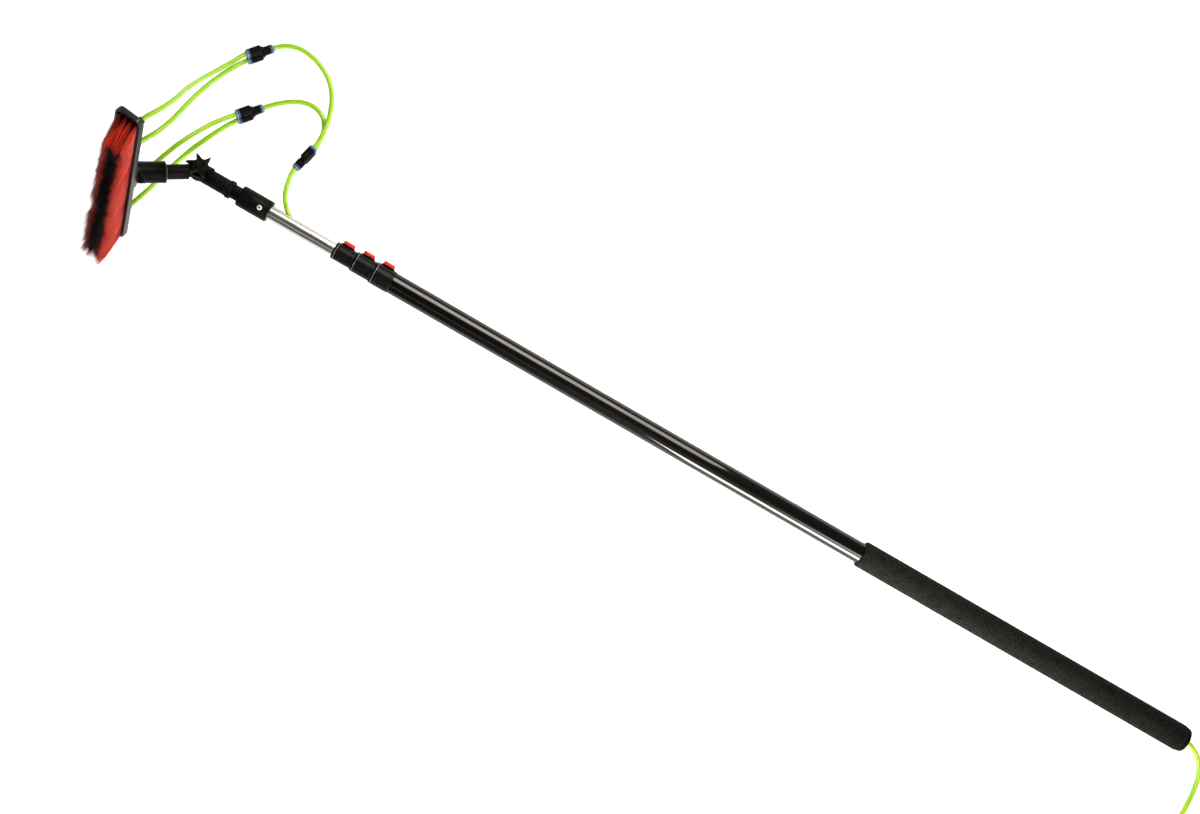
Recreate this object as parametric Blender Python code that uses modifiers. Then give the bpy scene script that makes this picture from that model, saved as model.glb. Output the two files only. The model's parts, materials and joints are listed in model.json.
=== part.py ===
"""Water-fed window cleaning pole, lying on the floor.

Four telescoping tubes slide in one another, each held by a clamp collar with a sprung red button. A hinged
arm carries the brush, and a lime hose runs up inside the pole and splits in three Y connectors to four jets
on the back of the brush. The butt end is at +X, the brush at -X, and +Z is up from the floor.

Distances "along the pole" are measured from the butt end towards the brush. In a pole frame, local Z runs
along the pole to the brush, local X points up and local Y is the row's +Y.
"""

import math

import bmesh
import bpy
from mathutils import Matrix, Vector

# ---- driving dimensions, in metres and radians ----
GAP = 0.0003
POLE_SLOPE = math.radians(2.0)
HEAD_ROLL = math.radians(32.3)
HEAD_TILT = math.radians(37.8)
HEAD_TWIST = math.radians(2.1)
SOCKET_ANGLE = math.radians(43.4)
BUTT = Vector((0.9848, 0.0930, 0.0225))
HINGE_AT = 1.857
ARM_REACH = 0.1153

TUBE_WALL = 0.0012
# name, outer radius, start and end along the pole
TUBES = (
    ("outer_tube", 0.0175, 0.0063, 1.5160),
    ("second_tube", 0.0153, 0.0300, 1.5510),
    ("third_tube", 0.0133, 0.0600, 1.5860),
    ("top_tube", 0.0117, 0.0900, 1.7570),
)
# collar name, outer radius, start along the pole, and the radii of the tube it holds and of the one it guides
COLLARS = (
    ("3", 0.0185, 1.5100, 0.0175, 0.0153),
    ("2", 0.0168, 1.5450, 0.0153, 0.0133),
    ("1", 0.0147, 1.5800, 0.0133, 0.0117),
)
COLLAR_LENGTH = 0.0347
COLLAR_SEAT = 0.0063
BUTTON_WIDTH = 0.0120
BUTTON_LENGTH = 0.0200
BUTTON_RISE = 0.0070
BUTTON_TRAVEL = 0.0020
SHOE_THICKNESS = 0.0012

GRIP_RADIUS = 0.0225
GRIP_END = 0.6340
CAP_RADIUS = 0.0212
CAP_THICKNESS = 0.0060

SOCKET_RADIUS = 0.01735
SOCKET_START = 1.7304
SOCKET_END = 1.7839
SCREW_AT = 1.7460
LOWER_ARM_RADIUS = 0.0133
NECK_RADIUS = 0.0117
UPPER_ARM_RADIUS = 0.0120
LUG_RADIUS = 0.0145
LUG_THICKNESS = 0.0065
BOLT_RADIUS = 0.0030
LOBE_TURN = math.radians(10)

STOCK_LENGTH = 0.308
STOCK_WIDTH = 0.0455
STOCK_THICKNESS = 0.010
RIB_HEIGHT = 0.008
BRISTLE_ROOT = 0.0063
BRISTLE_TIP = 0.0700
TIP_FLARE = 0.022
JET_PLACES = (0.1110, 0.0510, -0.0600, -0.1190)
JET_LENGTH = 0.018

HOSE_RADIUS = 0.004
HOSE_CLEARANCE = 0.0003
CONNECTOR_LENGTH = 0.0456
BARREL_RADIUS = 0.0073
BARREL_OFFSET = 0.0072
COLLET_FLANGE = 0.0020
PORT_DEPTH = 0.014

COIL_CENTRE = Vector((0.9802, -0.1600))
COIL_INNER = 0.0358
COIL_OUTER = 0.0768
COIL_BOTTOM = 0.0015
COIL_HEIGHT = 0.0328

ROUND = 28
SMALL = 16


# ---- scene and materials ----
def clear_scene():
    for old in list(bpy.data.objects):
        bpy.data.objects.remove(old, do_unlink=True)


def collection(name):
    made = bpy.data.collections.new(name)
    bpy.context.scene.collection.children.link(made)
    return made


def material(name, colour, roughness, metallic=0.0):
    made = bpy.data.materials.new(name)
    made.use_nodes = True
    shader = made.node_tree.nodes["Principled BSDF"]
    shader.inputs["Base Color"].default_value = (*colour, 1.0)
    shader.inputs["Roughness"].default_value = roughness
    shader.inputs["Metallic"].default_value = metallic
    return made


clear_scene()
PARTS = collection("window_cleaning_pole")
TOOLS = collection("cutters")

BLACK_TUBE = material("black_tube", (0.012, 0.012, 0.013), 0.22)
SILVER = material("silver_tube", (0.80, 0.80, 0.79), 0.22, 1.0)
STEEL = material("steel", (0.62, 0.62, 0.60), 0.30, 1.0)
BLACK_PLASTIC = material("black_plastic", (0.015, 0.015, 0.015), 0.45)
RED_PLASTIC = material("red_plastic", (0.62, 0.02, 0.02), 0.35)
NYLON = material("nylon", (0.75, 0.74, 0.70), 0.50)
FOAM = material("foam", (0.030, 0.030, 0.029), 0.90)
RED_BRISTLE = material("red_bristle", (0.62, 0.03, 0.02), 0.50)
BLACK_BRISTLE = material("black_bristle", (0.01, 0.01, 0.01), 0.55)
LIME = material("lime_hose", (0.36, 0.66, 0.03), 0.30)
BLUE = material("blue_collet", (0.08, 0.20, 0.55), 0.40)
STRAP = material("strap", (0.02, 0.02, 0.02), 0.80)


# ---- frames ----
def frame(name, matrix, parent=None):
    """An empty that other pieces are parented to."""
    made = bpy.data.objects.new(name, None)
    made.empty_display_size = 0.02
    PARTS.objects.link(made)
    made.parent = parent
    made.matrix_local = matrix
    return made


def world(empty):
    """The empty's world matrix, through its parents."""
    if empty is None:
        return Matrix.Identity(4)
    return world(empty.parent) @ empty.matrix_local


def columns(x, y, z, origin):
    turned = Matrix((x, y, z)).transposed().to_4x4()
    return Matrix.Translation(origin) @ turned


UP = Vector((math.sin(POLE_SLOPE), 0, math.cos(POLE_SLOPE)))
SIDE = Vector((0, 1, 0))
ALONG = Vector((-math.cos(POLE_SLOPE), 0, math.sin(POLE_SLOPE)))
POLE = frame("pole_frame", columns(UP, SIDE, ALONG, BUTT))
HINGE = frame("hinge_frame", Matrix.Translation((0, 0, HINGE_AT)) @ Matrix.Rotation(HEAD_ROLL, 4, "Z"), POLE)
ARM = frame("arm_frame", Matrix.Rotation(HEAD_TILT, 4, "X"), HINGE)
HEAD_TURN = Matrix.Rotation(HEAD_TWIST, 4, "Z") @ Matrix.Rotation(SOCKET_ANGLE, 4, "X")
BRUSH = frame("brush_frame", Matrix.Translation((0, 0, ARM_REACH)) @ HEAD_TURN, ARM)


def place(obj, parent, location=(0, 0, 0), turn=None):
    """Parents obj to a frame, at a location in that frame and with an optional rotation matrix there."""
    obj.parent = parent
    obj.matrix_local = Matrix.Translation(location) @ (turn or Matrix.Identity(4))
    return obj


# ---- shapes ----
def link(name, mesh, look=None):
    """A part with its material, or a tool shape where no material is given."""
    made = bpy.data.objects.new(name, mesh)
    if look is None:
        TOOLS.objects.link(made)
        made.hide_render = True
        made.display_type = "WIRE"
    else:
        PARTS.objects.link(made)
        mesh.materials.append(look)
    return made


def shade(obj, angle=math.radians(40)):
    obj.data.shade_smooth()
    obj.data.set_sharp_from_angle(angle=angle)
    return obj


def turned(name, profile, look=None, steps=ROUND, closed=True):
    """A profile of (radius, height) points, top to bottom down its outer side, turned about Z."""
    mesh = bpy.data.meshes.new(name)
    shape = bmesh.new()
    points = [shape.verts.new((radius, 0, height)) for radius, height in profile]
    for first, second in zip(points, points[1:]):
        shape.edges.new((first, second))
    if closed:
        shape.edges.new((points[-1], points[0]))
    shape.to_mesh(mesh)
    shape.free()
    made = link(name, mesh, look)
    screw = made.modifiers.new("turn", "SCREW")
    screw.steps = steps
    screw.render_steps = steps
    screw.use_merge_vertices = True
    screw.merge_threshold = 0.00001
    screw.use_normal_calculate = False
    return made


def rod(name, radius, bottom, top, look=None, steps=ROUND, chamfer=0.0):
    """A solid cylinder about Z with chamfered ends."""
    profile = [(0, top), (radius - chamfer, top), (radius, top - chamfer)]
    profile += [(radius, bottom + chamfer), (radius - chamfer, bottom), (0, bottom)]
    if not chamfer:
        profile = [(0, top), (radius, top), (radius, bottom), (0, bottom)]
    return turned(name, profile, look, steps, closed=False)


def ring(name, outer, inner, bottom, top, look=None, steps=ROUND, chamfer=0.0):
    """A plain tube about Z with chamfered outer edges."""
    profile = [(inner, top), (outer - chamfer, top), (outer, top - chamfer)]
    profile += [(outer, bottom + chamfer), (outer - chamfer, bottom), (inner, bottom)]
    if not chamfer:
        profile = [(inner, top), (outer, top), (outer, bottom), (inner, bottom)]
    return turned(name, profile, look, steps)


def box(name, low, high, look=None, bevel=0.0, segments=2):
    """A box between two corners, with rounded edges."""
    mesh = bpy.data.meshes.new(name)
    shape = bmesh.new()
    bmesh.ops.create_cube(shape, size=1)
    low, high = Vector(low), Vector(high)
    size = high - low
    bmesh.ops.scale(shape, vec=size, verts=shape.verts)
    bmesh.ops.translate(shape, vec=(low + high) / 2, verts=shape.verts)
    shape.to_mesh(mesh)
    shape.free()
    made = link(name, mesh, look)
    if bevel:
        rounding = made.modifiers.new("round", "BEVEL")
        rounding.width = bevel
        rounding.segments = segments
    return made


def plate(name, outline, bottom, top, look=None):
    """A flat outline in XY with straight sides between two heights, made as a filled 2D curve."""
    curve = bpy.data.curves.new(name, "CURVE")
    curve.dimensions = "2D"
    curve.fill_mode = "BOTH"
    curve.extrude = (top - bottom) / 2
    spline = curve.splines.new("POLY")
    spline.points.add(len(outline) - 1)
    for point, (x, y) in zip(spline.points, outline):
        point.co = (x, y, 0, 1)
    spline.use_cyclic_u = True
    source = bpy.data.objects.new(name + "_outline", curve)
    bpy.context.scene.collection.objects.link(source)
    bpy.context.view_layer.update()
    evaluated = source.evaluated_get(bpy.context.evaluated_depsgraph_get())
    mesh = bpy.data.meshes.new_from_object(evaluated)
    bpy.data.objects.remove(source)
    shape = bmesh.new()
    shape.from_mesh(mesh)
    bmesh.ops.remove_doubles(shape, verts=shape.verts, dist=0.00001)
    bmesh.ops.translate(shape, vec=(0, 0, (top + bottom) / 2), verts=shape.verts)
    bmesh.ops.recalc_face_normals(shape, faces=shape.faces)
    shape.to_mesh(mesh)
    shape.free()
    mesh.name = name
    return link(name, mesh, look)


def stadium(width, length, steps=6):
    """Outline of a slot: two straight sides along Y and two round ends."""
    radius = width / 2
    straight = length / 2 - radius
    points = []
    for side in (1, -1):
        for step in range(steps + 1):
            angle = math.pi * step / steps + (0 if side > 0 else math.pi)
            points.append((radius * math.cos(angle), side * straight + radius * math.sin(angle)))
    return points


def rounded_rectangle(length, width, radius, steps=4):
    """Outline of a rectangle with round corners, long side along X."""
    points = []
    for corner in range(4):
        centre_x = (length / 2 - radius) * (1 if corner in (0, 3) else -1)
        centre_y = (width / 2 - radius) * (1 if corner < 2 else -1)
        for step in range(steps + 1):
            angle = math.pi / 2 * (corner + step / steps)
            points.append((centre_x + radius * math.cos(angle), centre_y + radius * math.sin(angle)))
    return points


def combine(obj, other, operation):
    change = obj.modifiers.new(operation.lower(), "BOOLEAN")
    change.operation = operation
    change.solver = "EXACT"
    change.object = other
    return obj


def cut(obj, *others):
    for other in others:
        combine(obj, other, "DIFFERENCE")
    return obj


def join(obj, *others):
    for other in others:
        combine(obj, other, "UNION")
    return obj


# Rotations that lay a shape turned about Z along another axis of its frame
Z_TO_X = Matrix.Rotation(math.radians(90), 4, "Y")
Z_TO_Y = Matrix.Rotation(math.radians(-90), 4, "X")


# ---- telescoping tubes ----
def make_tubes():
    for name, radius, start, end in TUBES:
        look = SILVER if name == "top_tube" else BLACK_TUBE
        tube = ring(name, radius, radius - TUBE_WALL, start, end, look)
        place(shade(tube), POLE)
    slot = plate("hose_slot_cutter", stadium(0.0096, 0.027), 0, 0.03)
    # the slot's length, along its own Y, lies along the pole, and it opens to the side
    place(slot, POLE, (0, 0, 1.7010), Matrix.Rotation(math.radians(-90), 4, "X"))
    cut(bpy.data.objects["top_tube"], slot)


def make_bushes():
    """A nylon plug in the rear end of each sliding tube centres it in the next one."""
    for index, name in enumerate(("second_bush", "third_bush", "top_bush"), start=1):
        _, radius, start, _ = TUBES[index]
        guide = TUBES[index - 1][1] - TUBE_WALL - GAP
        spigot = radius - TUBE_WALL - GAP
        bore = 0.0060
        profile = [(bore, start + 0.014), (spigot, start + 0.014), (spigot, start - GAP)]
        profile += [(guide, start - GAP), (guide, start - 0.008), (bore, start - 0.008)]
        place(shade(turned(name, profile, NYLON, 24)), POLE)


# ---- clamp collars with their buttons ----
def make_collar(name, outer, start, held, guided):
    """The collar on the front end of one tube, its sprung button, spring and brake shoe."""
    body = rod("clamp_collar_" + name, outer, 0, COLLAR_LENGTH, BLACK_PLASTIC, ROUND, 0.0010)
    place(shade(body), POLE, (0, 0, start))
    middle = start + COLLAR_LENGTH / 2
    upright = Matrix.Rotation(math.radians(-90), 4, "X")
    rim = plate("collar_rim_" + name, rounded_rectangle(0.0152, 0.0232, 0.0068), outer - 0.0035, outer + 0.0015)
    pocket_outline = rounded_rectangle(0.0126, 0.0206, 0.0055)
    pocket = plate("collar_pocket_" + name, pocket_outline, outer - 0.0018, outer + 0.01)
    window = plate("collar_window_" + name, stadium(0.0070, 0.0136), 0.002, outer + 0.01)
    for shape in (rim, pocket, window):
        place(shape, POLE, (0, 0, middle), upright)
    seat = held + GAP
    bore = guided + 0.0004
    bore_profile = [(0, COLLAR_LENGTH + 0.01), (bore, COLLAR_LENGTH + 0.01), (bore, COLLAR_SEAT)]
    bore_profile += [(seat, COLLAR_SEAT), (seat, -0.01), (0, -0.01)]
    hollow = turned("collar_bore_" + name, bore_profile, None, ROUND, closed=False)
    place(hollow, POLE, (0, 0, start))
    join(body, rim)
    cut(body, hollow, pocket, window)

    # the brake shoe lies on the inner tube, the button rides above it and the spring pushes them apart
    shoe = plate("lock_shoe_" + name, stadium(0.0064, 0.0130, 4), 0, SHOE_THICKNESS, STEEL)
    place(shade(shoe), POLE, (0, guided + GAP, middle), upright)
    skirt = outer - 0.0018 + BUTTON_TRAVEL + GAP
    height = outer + BUTTON_RISE - skirt
    button = box(
        "lock_button_" + name,
        (-BUTTON_WIDTH / 2, -BUTTON_LENGTH / 2, -height),
        (BUTTON_WIDTH / 2, BUTTON_LENGTH / 2, height),
        RED_PLASTIC, 0.0052, 4,
    )
    place(button, POLE, (0, skirt, middle), upright)
    under = box("button_base_" + name, (-0.02, -0.02, -0.02), (0.02, 0.02, 0))
    pit = rod("spring_pit_" + name, 0.0029, -0.001, 0.0040, None, 12)
    for shape in (under, pit):
        place(shape, POLE, (0, skirt, middle), upright)
    cut(button, under, pit)
    shade(button)
    bottom = guided + GAP + SHOE_THICKNESS + GAP
    top = skirt + 0.0040 - GAP
    spring = helix("button_spring_" + name, 0.0022, 0.0003, top - bottom, 3.5, STEEL)
    place(spring, POLE, (0, bottom, middle), upright)


def helix(name, radius, wire, height, turns, look):
    """A compression spring standing on Z = 0 along +Z."""
    curve = bpy.data.curves.new(name, "CURVE")
    curve.dimensions = "3D"
    curve.bevel_depth = wire
    curve.bevel_resolution = 1
    curve.use_fill_caps = True
    spline = curve.splines.new("POLY")
    count = int(turns * 8) + 1
    spline.points.add(count - 1)
    for index in range(count):
        share = index / (count - 1)
        angle = 2 * math.pi * turns * share
        rise = wire + (height - 2 * wire) * share
        spline.points[index].co = (radius * math.cos(angle), radius * math.sin(angle), rise, 1)
    made = bpy.data.objects.new(name, curve)
    PARTS.objects.link(made)
    curve.materials.append(look)
    return made


# ---- grip and butt cap ----
def make_grip():
    inner = TUBES[0][1] + GAP
    low, high = CAP_THICKNESS + GAP, GRIP_END
    profile = [(inner, high), (GRIP_RADIUS - 0.0030, high), (GRIP_RADIUS - 0.0008, high - 0.0010)]
    profile += [(GRIP_RADIUS, high - 0.0032), (GRIP_RADIUS, low + 0.0040)]
    profile += [(GRIP_RADIUS - 0.0010, low + 0.0012), (GRIP_RADIUS - 0.0035, low), (inner, low)]
    place(shade(turned("foam_grip", profile, FOAM)), POLE)
    spigot = TUBES[0][1] - TUBE_WALL - GAP
    hose_hole = HOSE_RADIUS + 0.0006
    cap = [(spigot - 0.003, 0.020), (spigot, 0.020), (spigot, CAP_THICKNESS), (CAP_RADIUS, CAP_THICKNESS)]
    cap += [(CAP_RADIUS, 0.0020), (CAP_RADIUS - 0.0020, 0), (hose_hole, 0), (hose_hole, 0.0045)]
    cap += [(spigot - 0.003, 0.0045)]
    place(shade(turned("butt_cap", cap, BLACK_PLASTIC)), POLE)


# ---- pole socket and hinge ----
def make_socket():
    bore = NECK_RADIUS + GAP
    socket = ring("pole_socket", SOCKET_RADIUS, bore, SOCKET_START, SOCKET_END, BLACK_PLASTIC, ROUND, 0.0022)
    place(shade(socket), POLE)
    # the screw sits a little to the side of straight up
    turn = Matrix.Rotation(math.radians(-6), 4, "Z") @ Z_TO_X
    seat = rod("screw_seat", 0.0046, SOCKET_RADIUS - 0.0012, SOCKET_RADIUS + 0.01, None, SMALL)
    hole = rod("screw_hole", 0.0023, 0.009, SOCKET_RADIUS + 0.02, None, 12)
    for shape in (seat, hole):
        place(shape, POLE, (0, 0, SCREW_AT), turn)
    cut(socket, seat, hole)
    floor = SOCKET_RADIUS - 0.0012 + GAP
    profile = [(0, floor + 0.0011), (0.0014, floor + 0.0011), (0.0014, floor + 0.0019)]
    profile += [(0.0032, floor + 0.0019), (0.0041, floor + 0.0008), (0.0041, floor), (0.0020, floor)]
    profile += [(0.0020, NECK_RADIUS + 2 * GAP), (0, NECK_RADIUS + 2 * GAP)]
    screw = turned("socket_screw", profile, STEEL, SMALL, closed=False)
    place(shade(screw), POLE, (0, 0, SCREW_AT), turn)


def lug(name, side, look, reach, radius):
    """A hinge lug on one side of the hinge plane (side is 1 or -1), reaching along its arm to the tube."""
    near, far = GAP / 2, GAP / 2 + LUG_THICKNESS
    low, high = (near, far) if side > 0 else (-far, -near)
    disc = rod(name, LUG_RADIUS, low, high, look, ROUND, 0.0008)
    web = box(name + "_web", (low, -radius * 0.86, min(0, reach)), (high, radius * 0.86, max(0, reach)))
    return disc, web


def make_hinge():
    """The two arms meet face to face in two lugs on a bolt, clamped by the star knob."""
    bolt_hole = rod("bolt_hole", BOLT_RADIUS + GAP, -0.03, 0.03, None, SMALL)
    place(bolt_hole, HINGE, (0, 0, 0), Z_TO_X)

    lower, web = lug("lower_hinge_arm", -1, BLACK_PLASTIC, -0.020, LOWER_ARM_RADIUS)
    place(shade(lower), HINGE, (0, 0, 0), Z_TO_X)
    place(web, HINGE)
    profile = [(0, -0.0165), (LOWER_ARM_RADIUS - 0.001, -0.0165), (LOWER_ARM_RADIUS, -0.0175)]
    profile += [(LOWER_ARM_RADIUS, -0.0515), (NECK_RADIUS, -0.0515), (NECK_RADIUS, -0.0990), (0, -0.0990)]
    stem = turned("lower_arm_stem", profile, None, ROUND, closed=False)
    place(stem, HINGE)
    join(lower, web, stem)
    cut(lower, bolt_hole)

    upper, web = lug("upper_arm", 1, BLACK_PLASTIC, 0.020, UPPER_ARM_RADIUS)
    place(shade(upper), ARM, (0, 0, 0), Z_TO_X)
    place(web, ARM)
    stem = rod("upper_arm_stem", UPPER_ARM_RADIUS, 0.0165, 0.0780, None, ROUND, 0.0008)
    core = rod("upper_arm_core", 0.0092, 0.0300, 0.0900, None, SMALL)
    place(stem, ARM)
    place(core, ARM)
    join(upper, web, stem)
    cut(upper, core, bolt_hole)

    lock_ring = ring("lock_ring", 0.0148, NECK_RADIUS + GAP, -0.0602, -0.0518, BLACK_PLASTIC, 24, 0.0008)
    place(shade(lock_ring), HINGE)

    lug_face = GAP / 2 + LUG_THICKNESS + GAP
    bolt = rod("hinge_bolt", 0.0062, -lug_face - 0.0045, -lug_face, STEEL, 6)
    shaft = rod("bolt_shaft", BOLT_RADIUS, -lug_face - 0.001, lug_face + 0.0113, None, SMALL)
    place(shade(bolt), HINGE, (0, 0, 0), Z_TO_X)
    place(shaft, HINGE, (0, 0, 0), Z_TO_X)
    join(bolt, shaft)

    outline = []
    lobes, steps = 6, 10
    for index in range(lobes * steps):
        angle = 2 * math.pi * index / (lobes * steps)
        radius = 0.0118 + 0.0112 * (1 - abs(math.sin(lobes / 2 * angle))) ** 1.5
        turn = angle + LOBE_TURN
        outline.append((radius * math.cos(turn), radius * math.sin(turn)))
    knob = rod("star_knob", 0.0098, lug_face, lug_face + 0.0140, BLACK_PLASTIC, 24, 0.0010)
    star = plate("knob_star", outline, lug_face + 0.0069, lug_face + 0.0129)
    well = rod("knob_bore", BOLT_RADIUS + GAP, lug_face - 0.01, lug_face + 0.0116, None, SMALL)
    for shape in (knob, star, well):
        place(shape, HINGE, (0, 0, 0), Z_TO_X)
    join(knob, star)
    cut(knob, well)
    shade(knob)


# ---- brush ----
def make_brush():
    outline = rounded_rectangle(STOCK_LENGTH, STOCK_WIDTH, 0.010)
    stock = plate("brush_stock", outline, 0, STOCK_THICKNESS, BLACK_PLASTIC)
    edge = stock.modifiers.new("round", "BEVEL")
    edge.width = 0.0012
    edge.segments = 2
    edge.limit_method = "ANGLE"
    place(shade(stock), BRUSH)
    rib = box("stock_rib", (-0.142, -0.014, -RIB_HEIGHT), (0.142, 0.014, 0.002), None, 0.0030, 2)
    pad = box("stock_pad", (-0.024, -0.0215, -RIB_HEIGHT), (0.024, 0.0215, 0.002), None, 0.0020, 2)
    recess_outline = rounded_rectangle(STOCK_LENGTH - 0.0060, STOCK_WIDTH - 0.0060, 0.0045)
    recess = plate("stock_recess", recess_outline, BRISTLE_ROOT - GAP, 0.03)
    for shape in (rib, pad, recess):
        place(shape, BRUSH)
    join(stock, rib, pad)
    cut(stock, recess)
    for index, at in enumerate(JET_PLACES, start=1):
        hole = rod(f"jet_hole_{index}", 0.0033, -0.02, 0.02, None, SMALL)
        place(hole, BRUSH, (at, 0, 0))
        cut(stock, hole)

    socket = rod("brush_socket", 0.01725, 0.0520, 0.1350, BLACK_PLASTIC, ROUND, 0.0010)
    bore = rod("brush_socket_bore", UPPER_ARM_RADIUS + GAP, 0.040, 0.0790)
    place(shade(socket), ARM)
    place(bore, ARM)
    plane = box("stock_back_plane", (-0.2, -0.1, -RIB_HEIGHT - GAP), (0.2, 0.1, 0.1))
    place(plane, BRUSH)
    cut(socket, bore, plane)

    outer = bristle_block("outer_bristles", 0.1480, 0.0183, RED_BRISTLE)
    hollow = bristle_block("bristle_hollow", 0.1400, 0.0110, None, 0.01)
    inner = bristle_block("inner_bristles", 0.1396, 0.0106, BLACK_BRISTLE)
    for shape in (outer, hollow, inner):
        place(shape, BRUSH)
    cut(outer, hollow)


def bristle_block(name, half_length, half_width, look, extra=0.0):
    """The envelope of a field of bristles. Its tips lean to -Y, more at the +X end, and flare out at the -X end."""
    mesh = bpy.data.meshes.new(name)
    shape = bmesh.new()
    bmesh.ops.create_cube(shape, size=2)
    lengthwise = [e for e in shape.edges if abs(e.verts[0].co.x - e.verts[1].co.x) > 1]
    bmesh.ops.subdivide_edges(shape, edges=lengthwise, cuts=11)
    middle = (BRISTLE_TIP + BRISTLE_ROOT) / 2
    half_height = (BRISTLE_TIP - BRISTLE_ROOT) / 2
    for point in shape.verts:
        share = (point.co.z * (half_height + extra) + half_height) / (2 * half_height)
        low_end = max(0.0, -point.co.x)
        along = point.co.x * half_length
        point.co.x = along - share * TIP_FLARE * low_end ** 2
        point.co.y = point.co.y * half_width - share * (0.0125 + 0.05 * along)
        point.co.z = middle + point.co.z * (half_height + extra)
    bmesh.ops.triangulate(shape, faces=shape.faces, quad_method="FIXED")
    shape.to_mesh(mesh)
    shape.free()
    return link(name, mesh, look)


JET_AXIS = Vector((0.5, -0.25, -0.75)).normalized()


def make_jets():
    """A jet has a stub that takes the hose at an angle and a spigot through the stock to the bristles."""
    tilt = JET_AXIS.to_track_quat("Z", "X").to_matrix().to_4x4()
    plane = bpy.data.objects["stock_back_plane"]
    for index, at in enumerate(JET_PLACES, start=1):
        root = Vector((at, 0, -RIB_HEIGHT))
        profile = [(0, JET_LENGTH), (0.0056, JET_LENGTH), (0.0056, JET_LENGTH - 0.003), (0.0062, 0.011)]
        profile += [(0.0062, -0.008), (0, -0.008)]
        jet = turned(f"jet_fitting_{index}", profile, BLACK_PLASTIC, SMALL, closed=False)
        place(shade(jet), BRUSH, root, tilt)
        cut(jet, plane)
        spigot = rod(f"jet_spigot_{index}", 0.0030, -RIB_HEIGHT - 0.004, 0.0055, None, 12)
        place(spigot, BRUSH, (at, 0, 0))
        mouth = rod(f"jet_mouth_{index}", HOSE_RADIUS + HOSE_CLEARANCE, 0.008, 0.05, None, SMALL)
        place(mouth, BRUSH, root, tilt)
        join(jet, spigot)
        cut(jet, mouth)


# ---- hose connectors ----
def connector_matrix(centre, heading, pitch, roll):
    turn = Matrix.Rotation(math.radians(heading), 4, "Z") @ Matrix.Rotation(math.radians(-pitch), 4, "Y")
    return Matrix.Translation(centre) @ turn @ Matrix.Rotation(math.radians(roll), 4, "X")


# number, centre, heading, pitch and roll in degrees; local +X points to the end with two ports
CONNECTORS = {
    1: connector_matrix((-0.8978, 0.3083, 0.0148), -127.1, 14, -58),
    2: connector_matrix((-0.8641, 0.2166, 0.0148), -127.1, 14, -58),
    3: connector_matrix((-0.7508, 0.1960, 0.0200), 79, -14, 90),
}


def make_connector(number):
    """A push-fit Y: one port at -X and two side by side at +X, each with a collet that grips the hose."""
    where = frame(f"connector_frame_{number}", CONNECTORS[number])
    face = CONNECTOR_LENGTH / 2 - COLLET_FLANGE - GAP
    body = rod(f"y_connector_{number}", BARREL_RADIUS, -face, 0.002, BLACK_PLASTIC, SMALL, 0.0006)
    place(shade(body), where, (0, 0, 0), Z_TO_X)
    web = box(f"y_web_{number}", (-0.006, -0.0080, -0.0048), (0.012, 0.0080, 0.0048))
    place(web, where)
    join(body, web)
    for side in (1, -1):
        barrel = rod(f"y_barrel_{number}_{side}", BARREL_RADIUS, -0.003, face, None, SMALL, 0.0006)
        place(barrel, where, (0, side * BARREL_OFFSET, 0), Z_TO_X)
        join(body, barrel)
    ports = (("single", 0, -1), ("left", BARREL_OFFSET, 1), ("right", -BARREL_OFFSET, 1))
    for port, offset, side in ports:
        bore = rod(f"y_bore_{number}_{port}", 0.0056, face - 0.0135, face + 0.01, None, SMALL)
        spin = Z_TO_X if side > 0 else Z_TO_X @ Matrix.Rotation(math.pi, 4, "X")
        place(bore, where, (0, offset, 0), spin)
        cut(body, bore)
        inner = HOSE_RADIUS + HOSE_CLEARANCE
        outside = CONNECTOR_LENGTH / 2
        profile = [(inner, outside), (0.0066, outside), (0.0066, face + GAP), (0.0053, face + GAP)]
        profile += [(0.0053, face - 0.009), (inner, face - 0.009)]
        collet = turned(f"collet_{number}_{port}", profile, BLUE, SMALL)
        place(shade(collet), where, (0, offset, 0), spin)


# ---- hoses ----
def port(number, side):
    """Centre and outward direction of a connector's port: 0 is the single one, 1 and -1 are the pair."""
    way = -1 if side == 0 else 1
    matrix = CONNECTORS[number]
    point = matrix @ Vector((way * CONNECTOR_LENGTH / 2, side * BARREL_OFFSET, 0))
    return point, (matrix.to_3x3() @ Vector((way, 0, 0))).normalized()


def jet_port(index):
    """Centre and outward direction of a jet's mouth."""
    matrix = world(BRUSH)
    root = Vector((JET_PLACES[index - 1], 0, -RIB_HEIGHT))
    return matrix @ (root + JET_AXIS * JET_LENGTH), (matrix.to_3x3() @ JET_AXIS).normalized()


def leaving(end, depth):
    """Points that take a hose straight out of a port, from inside it to a little outside."""
    point, way = end
    return [point + way * at for at in (-depth, -depth / 2, 0, 0.008)]


def joined_route(first, middle, last, first_depth=PORT_DEPTH, last_depth=PORT_DEPTH):
    """A hose's route from one port to another, by way of the points between."""
    return leaving(first, first_depth) + [Vector(p) for p in middle] + leaving(last, last_depth)[::-1]


def smooth(route):
    """Points on the uniform cubic B-spline of a route, one for each of its points, and its two ends."""
    inner = [(a + 4 * b + c) / 6 for a, b, c in zip(route, route[1:], route[2:])]
    return [route[0], *inner, route[-1]]


def hose(name, points, radius=HOSE_RADIUS, look=LIME):
    """A solid hose along a line of points."""
    curve = bpy.data.curves.new(name, "CURVE")
    curve.dimensions = "3D"
    curve.bevel_depth = radius
    curve.bevel_resolution = 2
    curve.use_fill_caps = True
    spline = curve.splines.new("POLY")
    spline.points.add(len(points) - 1)
    for target, point in zip(spline.points, points):
        target.co = (*point, 1)
    made = bpy.data.objects.new(name, curve)
    PARTS.objects.link(made)
    curve.materials.append(look)
    return made


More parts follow.
